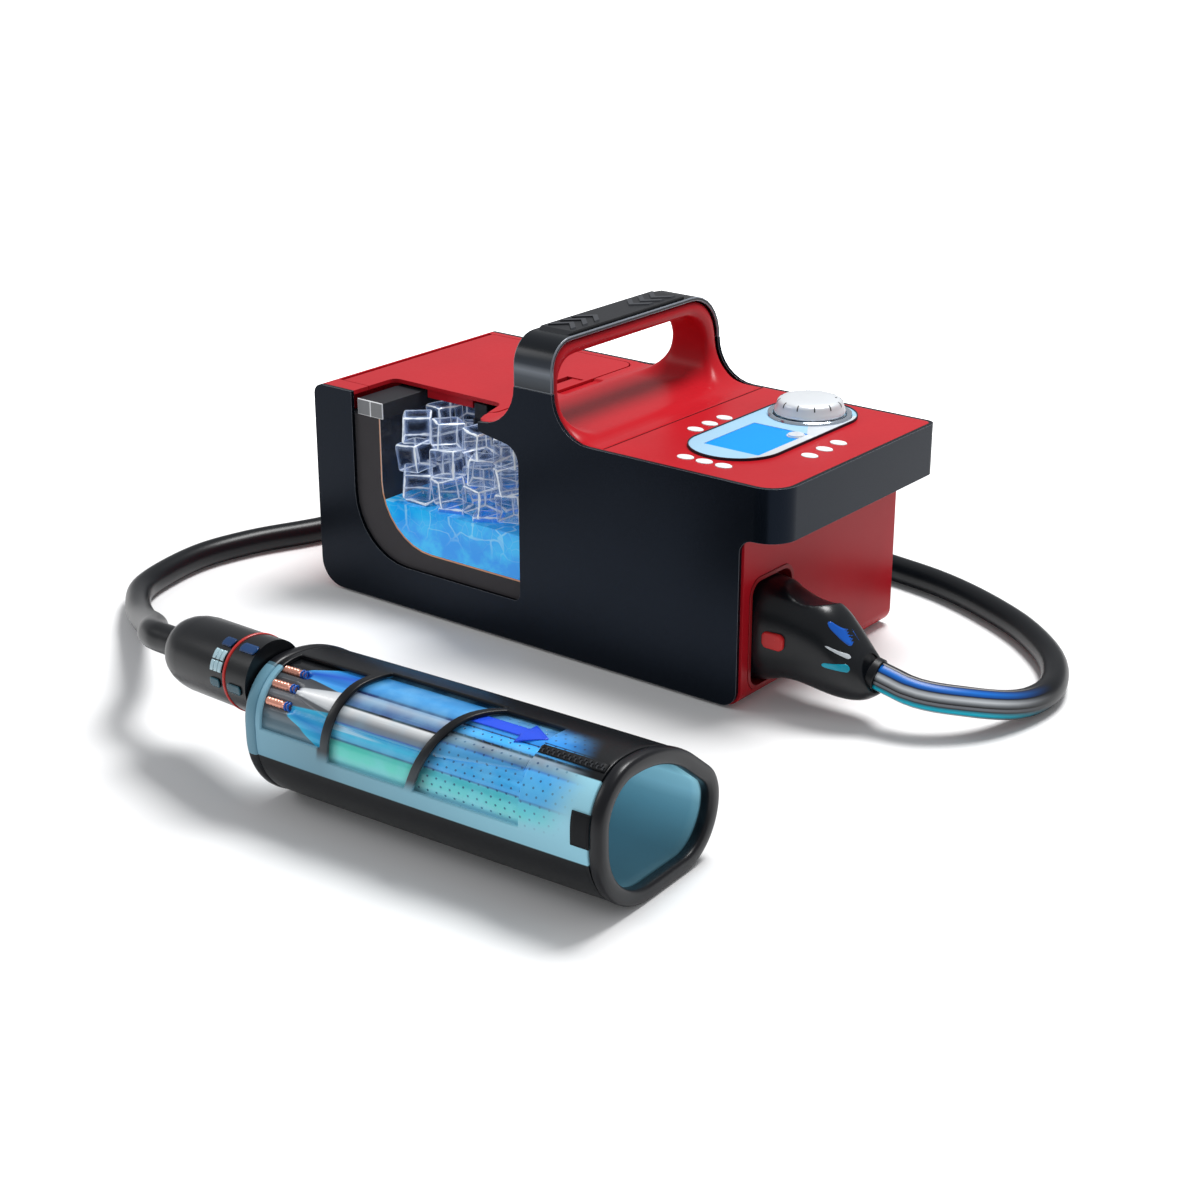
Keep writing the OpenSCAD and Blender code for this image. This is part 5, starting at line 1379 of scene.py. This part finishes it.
def wrap_patch(name, stations, rows, place, kept, thickness, *materials, closed=False, lip=0.0):
    """A cloth surface on a grid. place gives (x, v, depth) at a station and a row in millimetres,
    kept says which cells stay, and the cloth is thickened inward with soft lips.
    Its UV map holds x and v in metres."""
    bm = bmesh.new()
    uv = bm.loops.layers.uv.new("UVMap")
    spots = [[place(a, b) for b in rows] for a in stations]
    last = len(rows) - 1
    grid = []
    for column in spots:
        line = [bm.verts.new(wrap_point(x * mm, v, depth * mm)) for x, v, depth in column]
        if closed:
            bm.verts.remove(line[last])
            line[last] = line[0]
        grid.append(line)
    for i in range(len(stations) - 1):
        for j in range(last):
            if not kept(i, j):
                continue
            corners = ((i, j), (i + 1, j), (i + 1, j + 1), (i, j + 1))
            face = bm.faces.new([grid[a][b] for a, b in corners])
            face.smooth = True
            for loop, (a, b) in zip(face.loops, corners):
                loop[uv].uv = (spots[a][b][0] * mm, spots[a][b][1] * mm)
    bmesh.ops.delete(bm, geom=[v for v in bm.verts if not v.link_faces], context="VERTS")
    face = bm.faces[:][0]
    outward = face.calc_center_median() - wrap_place @ Vector((0, 0, 45 * mm))
    outward -= wrap_place.to_3x3() @ Vector(((wrap_place.inverted() @ face.calc_center_median())[0], 0, 0))
    if face.normal.dot(outward) < 0:
        bmesh.ops.reverse_faces(bm, faces=bm.faces)
    mesh = bpy.data.meshes.new(name)
    bm.to_mesh(mesh)
    bm.free()
    thing = piece(name, mesh, *materials)
    wall = thing.modifiers.new("thickness", "SOLIDIFY")
    wall.thickness = thickness
    wall.offset = -1
    if lip:
        soft = thing.modifiers.new("lip", "BEVEL")
        soft.width = lip
        soft.segments = 3
        soft.limit_method = "ANGLE"
        soft.angle_limit = math.radians(50)
    evaluated(thing)
    return thing


def tone(code):
    """A colour given as a screen's six hexadecimal digits, in Blender's own units."""
    values = [int(code[k:k + 2], 16) / 255 for k in (0, 2, 4)]
    return tuple(c / 12.92 if c <= 0.04045 else ((c + 0.055) / 1.055)**2.4 for c in values)


def banded(material, value, width, stops):
    """Colours at places along a value, given in millimetres out of a width."""
    ramp = add(material, "ShaderNodeValToRGB")
    bands = ramp.color_ramp.elements
    while len(bands) < len(stops):
        bands.new(0.5)
    for band, (place, code) in zip(bands, stops):
        band.position = place / width
    for band, (place, code) in zip(bands, stops):
        band.color = (*tone(code), 1)
    join(material, maths(material, "DIVIDE", value, width), ramp.inputs["Fac"])
    return ramp.outputs["Color"]


def inside(material, value, low, high, soft):
    """1 where a value lies between low and high, with soft flanks; both may be sockets."""
    over = ramped(material, maths(material, "SUBTRACT", value, low), -soft, soft)
    under = ramped(material, maths(material, "SUBTRACT", value, high), soft, -soft)
    return maths(material, "MULTIPLY", over, under)


def line_of(material, value, start, slope):
    """start + slope * value."""
    return maths(material, "ADD", maths(material, "MULTIPLY", value, slope), start)


# The two cut edges lean as the layers end: x of each at v, along straight lines
arc_1 = (72.5, -0.11)
arc_2 = (164.0, -0.40)
hoop_half = 3.0
panel_foot = 107.0
window_low = 97.0


def cut_edge(arc, v):
    """x of a hoop's middle at v; towards the crown it sweeps on along the wrap."""
    v = max(14.0, min(v, 100.0))
    return arc[0] + arc[1] * v + 0.05 * max(0.0, 34 - v)**1.6 * (arc is arc_2)


# ---- Wrap: what its layers are printed and welded with ----
# Blue and clear films are welded into channels that run along the wrap. Cones open from three
# barbs into the channels, and past the second cut edge the film is spot welded all over.
def wrap_coordinates(material):
    """x along the wrap and v round it in millimetres, and the UV map that they come from."""
    at = add(material, "ShaderNodeUVMap", uv_map="UVMap")
    split = add(material, "ShaderNodeSeparateXYZ")
    join(material, at.outputs["UV"], split.inputs[0])
    x = maths(material, "MULTIPLY", split.outputs["X"], 1000.0)
    v = maths(material, "MULTIPLY", split.outputs["Y"], 1000.0)
    return x, v, at


def lit(material, colour, strength):
    """A colour that also gives out a share of itself as light."""
    join(material, colour, shader_of(material).inputs["Base Color"])
    join(material, colour, shader_of(material).inputs["Emission Color"])
    shader_of(material).inputs["Emission Strength"].default_value = strength


def grain(material, scale, detail, strength, distance):
    """The fine bump of a cloth, fixed to the piece."""
    at = add(material, "ShaderNodeTexCoord")
    fine = add(material, "ShaderNodeTexNoise", Scale=scale, Detail=detail)
    join(material, at.outputs["Object"], fine.inputs["Vector"])
    bump = add(material, "ShaderNodeBump", Strength=strength, Distance=distance)
    join(material, fine.outputs["Fac"], bump.inputs["Height"])
    join(material, bump.outputs["Normal"], shader_of(material).inputs["Normal"])


def layer_paint(material):
    """The colour of the welded films, x and v, and how far a point is into a weld spot."""
    x, v, at = wrap_coordinates(material)
    cloud = add(material, "ShaderNodeTexNoise", Scale=55.0, Detail=4.0)
    join(material, at.outputs["UV"], cloud.inputs["Vector"])
    stretch = add(material, "ShaderNodeVectorMath", operation="MULTIPLY")
    stretch.inputs[1].default_value = (9.0, 190.0, 1.0)
    join(material, at.outputs["UV"], stretch.inputs[0])
    streaks = add(material, "ShaderNodeTexNoise", Scale=1.0, Detail=3.0)
    join(material, stretch.outputs[0], streaks.inputs["Vector"])
    drift = maths(material, "MULTIPLY", maths(material, "SUBTRACT", cloud.outputs["Fac"], 0.5), 5.0)
    soft_v = maths(material, "ADD", v, drift)
    # Between the two cut edges
    middle = banded(material, v, 110.0, (
        (8, "06080a"), (15, "143a5e"), (23, "2a78b4"), (33, "3a90cf"), (42, "3f86c2"),
        (43.2, "12265a"), (44.4, "12265a"), (45.4, "6f86a6"), (49, "93a4b8"), (54, "51709c"),
        (57, "3c5a90"), (57.6, "0a0d14"), (58.6, "0a0d14"), (59.4, "f4f5f6"), (62, "d5d8da"),
        (66, "8f969e"), (69, "7f95ad"), (69.8, "1f5fc0"), (70.8, "2fa8dc"), (75, "46bfe6"),
        (80, "2e9cc8"), (81.2, "184a72"), (82.4, "4fc6b8"), (90, "63d2c4"), (98, "8ccfd6")))
    # Past the second one
    welded = banded(material, v, 110.0, (
        (12, "05070a"), (20, "0f2a48"), (28, "2468a8"), (36, "2b84d4"), (42.6, "2f8ee0"),
        (43.4, "0c1c40"), (44.2, "3a9eea"), (50, "48b0f4"), (52.2, "3c90d0"), (52.8, "12151c"),
        (53.8, "12151c"), (54.8, "93a3b2"), (59, "748c9e"), (61.2, "5580a8"), (61.8, "245cb4"),
        (63, "3aa6ee"), (72, "46b4f2"), (79, "359fe0"), (80, "1c5a98"), (81.2, "48bccc"),
        (90, "60cbcc"), (98, "90c9d8")))
    # Near the barbs
    near = banded(material, soft_v, 110.0, (
        (20, "07080a"), (38, "121417"), (46, "2c2f33"), (52, "4a4d52"), (62, "6a6d72"),
        (74, "565b60"), (86, "5d7784"), (98, "7ba3b4")))
    out_of_barb = maths(material, "SUBTRACT", x, 24.0)
    for middle_v, slope, start, spread, codes in (
            (43.0, -0.22, 25.0, 0.40, ("1450b4", "3b96d4")),
            (58.0, -0.01, 30.0, 0.17, ("f2f3f4", "b4b9be")),
            (70.5, 0.26, 31.0, 0.34, ("1f86c8", "3cb6de"))):
        centre = line_of(material, out_of_barb, middle_v, slope)
        half = maths(material, "ADD", maths(material, "MULTIPLY", out_of_barb, spread), 1.2)
        off = maths(material, "ABSOLUTE", maths(material, "SUBTRACT", v, centre))
        cone = maths(material, "MULTIPLY",
                     ramped(material, maths(material, "SUBTRACT", off, half), 0.5, -0.5),
                     ramped(material, x, start - 1, start + 1))
        share = maths(material, "DIVIDE", off, half, clamp=True)
        film = blended(material, share, tone(codes[0]), tone(codes[1]))
        near = blended(material, cone, near, film)
    # Painted highlight: pale streaks across the middle bands, in place of the film's reflections.
    gloss = ramped(material, streaks.outputs["Fac"], 0.56, 0.72)
    shine = inside(material, v, 46.0, 80.0, 5.0)
    middle = blended(material, maths(material, "MULTIPLY", maths(material, "MULTIPLY", gloss, shine), 0.75),
                     middle, tone("eef6fa"))
    puff = ramped(material, cloud.outputs["Fac"], 0.35, 0.7)
    middle = blended(material, maths(material, "MULTIPLY", puff, 0.22), middle, tone("8fd0f0"))
    # Spot welds, each row shifted by half a pitch
    row = maths(material, "DIVIDE", v, 4.6)
    odd_row = maths(material, "MODULO", maths(material, "FLOOR", row), 2.0)
    shifted = maths(material, "MULTIPLY", odd_row, 0.5)
    column = maths(material, "ADD", maths(material, "DIVIDE", x, 6.4), shifted)
    along = maths(material, "SUBTRACT", maths(material, "FRACT", column), 0.5)
    over = maths(material, "SUBTRACT", maths(material, "FRACT", row), 0.5)
    along = maths(material, "MULTIPLY", along, 6.4)
    over = maths(material, "MULTIPLY", over, 4.6)
    reach = maths(material, "SQRT", maths(material, "ADD", maths(material, "MULTIPLY", along, along),
                                          maths(material, "MULTIPLY", over, over)))
    spot = ramped(material, reach, 0.95, 0.45)
    welded = blended(material, maths(material, "MULTIPLY", spot, 0.85), welded, tone("0c2c5c"))
    welded = blended(material, maths(material, "MULTIPLY", puff, 0.25), welded, tone("8fd4f6"))
    # Which part of the film this is, with a shadow past each cut edge
    edge_1 = line_of(material, v, *arc_1)
    edge_2 = line_of(material, v, *arc_2)
    past_1 = ramped(material, maths(material, "SUBTRACT", x, edge_1), -1.0, 1.0)
    past_2 = ramped(material, maths(material, "SUBTRACT", x, edge_2), -1.0, 1.0)
    colour = blended(material, past_1, near, middle)
    colour = blended(material, past_2, colour, welded)
    shade_1 = inside(material, maths(material, "SUBTRACT", x, edge_1), -2.0, 6.0, 5.0)
    shade_2 = inside(material, maths(material, "SUBTRACT", x, edge_2), -2.0, 8.0, 7.0)
    dark = maths(material, "MAXIMUM", maths(material, "MULTIPLY", shade_1, 0.62),
                 maths(material, "MULTIPLY", shade_2, 0.8))
    colour = blended(material, dark, colour, tone("0a0d12"))
    return colour, x, v, maths(material, "MULTIPLY", spot, past_2)


# ---- Wrap: bladders ----
# The water bladder is a double film round the whole wrap, puffed between its weld lines. A clear
# air bladder lies along its shoulder, and three short barbs feed it at the connector's end.
weld_lines = (16.0, 43.8, 69.8, 81.2, 98.0)
barb_rows = (44.1, 57.4, 70.1)


def puffed(x, v):
    """Depth of the film in millimetres: it dips at its weld lines and makes room for the barbs."""
    gap_to_weld = min(abs(v - w) for w in weld_lines)
    dip = 1.3 * math.exp(-(gap_to_weld / 2.2)**2)
    for barb_v in barb_rows:
        if x < 34:
            dip = max(dip, 3.4 * math.exp(-((v - barb_v) / 3.4)**4) * min(1.0, (34 - x) / 4))
    return 3.4 + dip


film = finish("bladder film", (0.1, 0.4, 0.8), 0.26, specular=0.45)
film_colour, _, _, film_spots = layer_paint(film)
# Painted light: the film gives out a little light of its own.
lit(film, film_colour, 0.2)
crease = add(film, "ShaderNodeTexNoise", Scale=160.0, Detail=3.0)
film_at = add(film, "ShaderNodeTexCoord")
join(film, film_at.outputs["Object"], crease.inputs["Vector"])
film_bump = add(film, "ShaderNodeBump", Strength=0.5, Distance=0.5 * mm)
join(film, maths(film, "SUBTRACT", crease.outputs["Fac"], film_spots), film_bump.inputs["Height"])
join(film, film_bump.outputs["Normal"], shader_of(film).inputs["Normal"])
film_stations = [9 + 240 * k / 80 for k in range(81)]
film_rows = [-150 + wrap_round * k / 190 for k in range(191)]
bladder = wrap_patch("water_bladder", film_stations, film_rows,
                     lambda x, v: (x, v, puffed(x, v)), lambda i, j: True,
                     2.2 * mm, film, closed=True)
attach(bladder, "machine")
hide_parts("wrap_bladder")

air_film = finish("clear air film", (0.75, 0.77, 0.8), 0.16, specular=0.7)
join(air_film, layer_paint(air_film)[0], shader_of(air_film).inputs["Base Color"])


def air_edge(x):
    """The air bladder's lower and upper v at x."""
    taper = min(1.0, (x - 32) / 34)
    slim = 1.0 if x < 142 else 1 - 0.5 * min(1.0, (x - 142) / 58)
    middle = 60 + 4 * taper * slim - 5 * (1 - slim)
    half = (2.2 + 5.6 * taper) * slim
    return middle - half, middle + half


def on_air(x, share):
    low, high = air_edge(x)
    v = low + (high - low) * share
    return x, v, 3.1 - 1.5 * math.sin(math.pi * share)**0.6 * min(1.0, (x - 31.9) / 5, (200.1 - x) / 5)


air = wrap_patch("air_bladder_film", [32 + 168 * k / 70 for k in range(71)],
                 [k / 12 for k in range(13)], on_air, lambda i, j: True, 1.0 * mm, air_film, lip=0.2 * mm)
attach(air, "machine")
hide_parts("air_bladder")


def ringed_barb():
    """A hose barb along X: five ridges, a groove and a seal at the end that faces the cone."""
    profile = [(0.0, 0.0), (1.6, 0.0), (2.0, 0.5)]
    for k in range(5):
        profile += [(2.5, 1.0 + 2.4 * k), (2.1, 2.6 + 2.4 * k), (1.8, 2.9 + 2.4 * k)]
    profile += [(2.3, 14.0), (2.3, 15.5), (1.7, 15.8), (1.7, 16.6), (0.0, 16.8)]
    return turned("barb", [(r * mm, z * mm) for r, z in profile], 24, 0, 0)


barb_copper = finish("barb copper", (0.80, 0.36, 0.26), 0.25, specular=0.7, metallic=0.35)
speckle(barb_copper, 600, 0.06, spread=0.18)
seal_blue = finish("barb seal", (0.01, 0.10, 0.45), 0.3)
speckle(seal_blue, 500, 0.1)
level = Matrix.Rotation(math.pi / 2, 4, "Y")
barb_places = []
seal_places = []
for x, v in zip((11, 12, 13), barb_rows):
    turns = (wrap_place.to_3x3() @ level.to_3x3()).to_euler()
    barb_places.append((wrap_point(x * mm, v, 4.4 * mm), turns))
    for further in (15.0, 17.4):
        seal_places.append((wrap_point((x + further) * mm, v, 4.4 * mm), turns))
barbs = repeated("hose_barbs", ringed_barb(), barb_places, barb_copper)
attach(barbs, "machine")
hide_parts("barb_fittings")
seal_ring = turned("seal_ring", [(1.9 * mm, 0), (2.7 * mm, 0.1 * mm), (2.9 * mm, 0.6 * mm),
                                 (2.7 * mm, 1.1 * mm), (1.9 * mm, 1.2 * mm), (1.9 * mm, 0)], 24, 0, 0)
seals = repeated("barb_seals", seal_ring, seal_places, seal_blue)
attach(seals, "machine")

# A moulded arrow on the film shows which way the coolant flows.
arrow_blue = finish("flow arrow", tone("1f4fe0"), 0.3)
speckle(arrow_blue, 500, 0.1, spread=0.2)
arrow_tail, arrow_neck, arrow_tip, arrow_v = 148, 184, 200.5, 35.5


def arrow_half(x):
    if x <= arrow_neck:
        return 5.0
    return 11.5 * (arrow_tip + 0.3 - x) / (arrow_tip - arrow_neck)


arrow_stations = [arrow_tail + (arrow_neck - arrow_tail) * k / 12 for k in range(13)]
arrow_stations += [arrow_neck + 0.05 + (arrow_tip - arrow_neck - 0.05) * k / 6 for k in range(7)]
arrow = wrap_patch("flow_arrow", arrow_stations, [-1 + 2 * k / 12 for k in range(13)],
                   lambda x, share: (x, arrow_v + share * arrow_half(x), 2.9),
                   lambda i, j: True, 0.5 * mm, arrow_blue)
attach(arrow, "machine")

# ---- Wrap: outer cover ----
# Black and pale blue laminated fabric. Two hoops are left between its windows, and
# near the open end it is thin enough for the welded film to show through.
fabric_columns = (3, 18, 2, 22, 2, 18, 2, 14)
window_columns = (1, 3, 5)


def fabric_stations():
    """Columns as (span, share): each span runs between two lines that lean with the cut edges."""
    columns = []
    for span, count in enumerate(fabric_columns):
        columns += [(span, k / count) for k in range(count)]
    return columns + [(len(fabric_columns) - 1, 1.0)]


def span_edges(v):
    """x of the lines between the spans at v: binding, windows and hoops."""
    first, second = cut_edge(arc_1, v), cut_edge(arc_2, v)
    return (9.0, 13.0, first - hoop_half, first + hoop_half, max(second - hoop_half, first + 20),
            second + hoop_half, 203.0 + max(0.0, second + hoop_half - 195), 206.0 + max(0, second - 190),
            249.0)


window_tops = {1: 29.0, 3: 17.0, 5: 21.5}


def fabric_spot(column, row):
    span, share = column
    edges = span_edges(row)
    x = edges[span] + (edges[span + 1] - edges[span]) * share
    swell = 0.5 * math.sin(math.pi * min(1.0, max(0.0, (x - 9) / 240)))**0.5
    return x, row, 0.6 - swell


def fabric_kept(i, j):
    span, share = columns[i]
    if span not in window_columns:
        return True
    v = (fabric_rows[j] + fabric_rows[j + 1]) / 2
    low = 89 if span == 1 else window_low
    return not window_tops[span] < v < low


columns = fabric_stations()
fabric_rows = [-150.0 + 6 * k for k in range(26)] + [8.0 + 1.5 * k for k in range(67)]
fabric_rows += [112.0 + (wrap_round - 150 - 112) * k / 16 for k in range(17)]
fabric_black = (0.0035, 0.0042, 0.0055)
cloth = finish("laminated fabric", fabric_black, 0.34, specular=0.3)
paint, cloth_x, cloth_v, _ = layer_paint(cloth)
panel_tone = banded(cloth, cloth_x, wrap_length, (
    (0, "6d9cb0"), (14, "78a5b8"), (60, "6e94a4"), (75, "7aa6b6"), (130, "80b2c4"),
    (190, "8ec6d8"), (250, "98d0e2")))
fade = ramped(cloth, cloth_v, 84.0, 107.0)
panel_tone = blended(cloth, maths(cloth, "MULTIPLY", fade, 0.25), panel_tone, tone("5f8ea2"))
far = maths(cloth, "ADD", cloth_x, maths(cloth, "MULTIPLY", maths(cloth, "ABSOLUTE",
            maths(cloth, "SUBTRACT", cloth_v, 62.0)), 0.35))
through = maths(cloth, "MULTIPLY", ramped(cloth, far, 246.0, 216.0), ramped(cloth, cloth_x, 185.0, 200.0))
through = maths(cloth, "MULTIPLY", through, inside(cloth, cloth_v, 26.0, 93.0, 7.0))
left_start = ramped(cloth, cloth_x, 34.0, 10.0)
panel_top = maths(cloth, "SUBTRACT", 56.6, maths(cloth, "MULTIPLY", left_start, 11.0))
on_panel = inside(cloth, cloth_v, panel_top, panel_foot, 0.5)
cloth_colour = blended(cloth, on_panel, fabric_black, panel_tone)
cloth_colour = blended(cloth, through, cloth_colour, paint)
# The hoops are black bindings, painted lighter towards their lower ends as a highlight
edge_gap = maths(cloth, "MINIMUM",
                 maths(cloth, "ABSOLUTE", maths(cloth, "SUBTRACT", cloth_x,
                                                line_of(cloth, cloth_v, *arc_1))),
                 maths(cloth, "ABSOLUTE", maths(cloth, "SUBTRACT", cloth_x,
                                                line_of(cloth, cloth_v, *arc_2))))
on_hoop = maths(cloth, "MULTIPLY", ramped(cloth, edge_gap, 6.0, 3.6),
                inside(cloth, cloth_v, 24.0, 94.0, 5.0))
hoop_black_and_highlight = blended(cloth, ramped(cloth, cloth_v, 60.0, 95.0), tone("101114"), tone("3c4247"))
cloth_colour = blended(cloth, on_hoop, cloth_colour, hoop_black_and_highlight)
# Painted light: the cover gives out a little light of its own.
lit(cloth, cloth_colour, 0.2)
grain(cloth, 900.0, 3.0, 0.12, 0.05 * mm)
fabric = wrap_patch("wrap_cover", columns, fabric_rows, fabric_spot, fabric_kept, 2.4 * mm, cloth,
                    closed=True, lip=0.7 * mm)
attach(fabric, "machine")
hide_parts("wrap_fabric")

# ---- Wrap: lining ----
# The teal brushed lining lies against the arm. It carries painted light round its middle height and
# painted shade towards its top and bottom, and it gives out a little light of its own, in place of what
# falls in through the opening.
lining_cloth = finish("teal lining", tone("74adc0"), 0.6, specular=0.2)
lining_at = add(lining_cloth, "ShaderNodeTexCoord")
lining_parts = add(lining_cloth, "ShaderNodeSeparateXYZ")
join(lining_cloth, lining_at.outputs["Object"], lining_parts.inputs[0])
fold = add(lining_cloth, "ShaderNodeTexNoise", Scale=9.0, Detail=1.0)
join(lining_cloth, lining_at.outputs["Object"], fold.inputs["Vector"])
raised = maths(lining_cloth, "ADD", maths(lining_cloth, "MULTIPLY", lining_parts.outputs["Z"], 1000.0),
               maths(lining_cloth, "MULTIPLY", maths(lining_cloth, "SUBTRACT",
                                                     fold.outputs["Fac"], 0.5), 10.0))
lining_tone_with_painted_light = banded(lining_cloth, raised, 100.0, (
    (4, "35505c"), (14, "4a7484"), (27, "5f93a6"), (33, "6a9fb2"), (40, "84bbce"), (52, "8cc4d6"),
    (62, "6fa4b6"), (74, "4b7686"), (88, "35545f")))
lit(lining_cloth, lining_tone_with_painted_light, 0.4)
grain(lining_cloth, 600.0, 4.0, 0.2, 0.08 * mm)


def soft_fold(x, v):
    """The lining's depth: it lies in shallow folds between its seams."""
    return 7.7 + 0.35 * math.sin(v / 9.0) * math.sin(x / 31.0)


lining = wrap_patch("wrap_lining_cloth", [9 + 240 * k / 40 for k in range(41)],
                    [-150 + wrap_round * k / 120 for k in range(121)],
                    lambda x, v: (x, v, soft_fold(x, v)), lambda i, j: True,
                    2.2 * mm, lining_cloth, closed=True)
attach(lining, "machine")
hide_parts("wrap_lining")

# ---- Wrap: bindings, label and zipper ----
# A stuffed roll of black fabric is sewn round each end. A blank woven label is sewn in at the
# open end, and a coil zipper closes the wrap along its shoulder.
roll_black = finish("binding fabric", (0.006, 0.0065, 0.009), 0.34, specular=0.35)
roll_x, roll_v, _ = wrap_coordinates(roll_black)
at_start = maths(roll_black, "MULTIPLY", inside(roll_black, roll_v, 45.5, panel_foot, 0.5),
                 inside(roll_black, roll_x, 1.5, 30.0, 0.5))
roll_tone = blended(roll_black, at_start, (0.006, 0.0065, 0.009), tone("6d9cb0"))
join(roll_black, roll_tone, shader_of(roll_black).inputs["Base Color"])
grain(roll_black, 700.0, 4.0, 0.2, 0.06 * mm)


def roll(name, middle_x, half_w):
    """A soft roll round the section, with a rounded box for its own section."""
    bm = bmesh.new()
    uv = bm.loops.layers.uv.new("UVMap")
    steps, around = 132, 20
    low, high = 0.0, 10.1
    spots = []
    for i in range(steps):
        v = -150 + wrap_round * i / steps
        ring = []
        for k in range(around):
            c, s = math.cos(math.tau * k / around), math.sin(math.tau * k / around)
            x = middle_x + half_w * abs(c)**0.62 * (1 if c > 0 else -1)
            depth = (low + high) / 2 + (high - low) / 2 * abs(s)**0.62 * (1 if s > 0 else -1)
            ring.append((x, v, depth))
        spots.append(ring)
    grid = [[bm.verts.new(wrap_point(x * mm, v, d * mm)) for x, v, d in ring] for ring in spots]
    for i in range(steps):
        j = (i + 1) % steps
        for k in range(around):
            m = (k + 1) % around
            face = bm.faces.new((grid[i][k], grid[j][k], grid[j][m], grid[i][m]))
            face.smooth = True
            for loop, (x, v, d) in zip(face.loops, (spots[i][k], spots[i][k], spots[i][m], spots[i][m])):
                loop[uv].uv = (x * mm, v * mm)
    bmesh.ops.recalc_face_normals(bm, faces=bm.faces)
    mesh = bpy.data.meshes.new(name)
    bm.to_mesh(mesh)
    bm.free()
    return piece(name, mesh, roll_black)


roll_half = 4.5
start_roll = roll("wrap_start_binding", roll_half, roll_half)
end_roll = roll("wrap_end_binding", wrap_length - roll_half, roll_half)
for thing in (start_roll, end_roll):
    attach(thing, "machine")
    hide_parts("wrap_binding")

label_black = finish("woven label", (0.006, 0.007, 0.009), 0.55, specular=0.2)
speckle(label_black, 1200, 0.3, depth=0.04)
label = wrap_patch("size_label", [238.5 + 12 * k / 6 for k in range(7)],
                   [76.0 + 20 * k / 10 for k in range(11)], lambda x, v: (x, v, -0.45),
                   lambda i, j: True, 0.7 * mm, label_black)
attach(label, "machine")

zip_v, zip_from, zip_to = 48.0, 204.0, 248.0
tape = wrap_patch("zipper_tape", [zip_from + (zip_to - zip_from) * k / 10 for k in range(11)],
                  [zip_v - 3.2 + 6.4 * k / 6 for k in range(7)], lambda x, v: (x, v, -0.1),
                  lambda i, j: True, 0.4 * mm, label_black)
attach(tape, "machine")
zip_dark = finish("zipper coil", (0.05, 0.053, 0.06), 0.3, specular=0.6, metallic=0.5)
speckle(zip_dark, 600, 0.1)
zip_outward = section_at(zip_v)[1]
zip_turns = (wrap_place.to_3x3()
             @ Matrix.Rotation(math.atan2(zip_outward[1], zip_outward[0]) - math.pi / 2, 3, "X")).to_euler()
tooth = solid_from([(-0.55 * mm, -1.5 * mm), (0.55 * mm, -1.5 * mm), (0.8 * mm, 0.2 * mm),
                    (0.35 * mm, 0.9 * mm), (-0.35 * mm, 0.9 * mm), (-0.8 * mm, 0.2 * mm)],
                   0, 0.9 * mm, 0.25, "tooth")
teeth_places = []
for k in range(24):
    side = 1 if k % 2 else -1
    teeth_places.append((wrap_point((zip_from + 0.8 + 1.8 * k) * mm, zip_v + 0.9 * side, -0.05 * mm),
                         zip_turns))
teeth = repeated("zipper_teeth", tooth, teeth_places, zip_dark)
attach(teeth, "machine")
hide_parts("wrap_zipper")
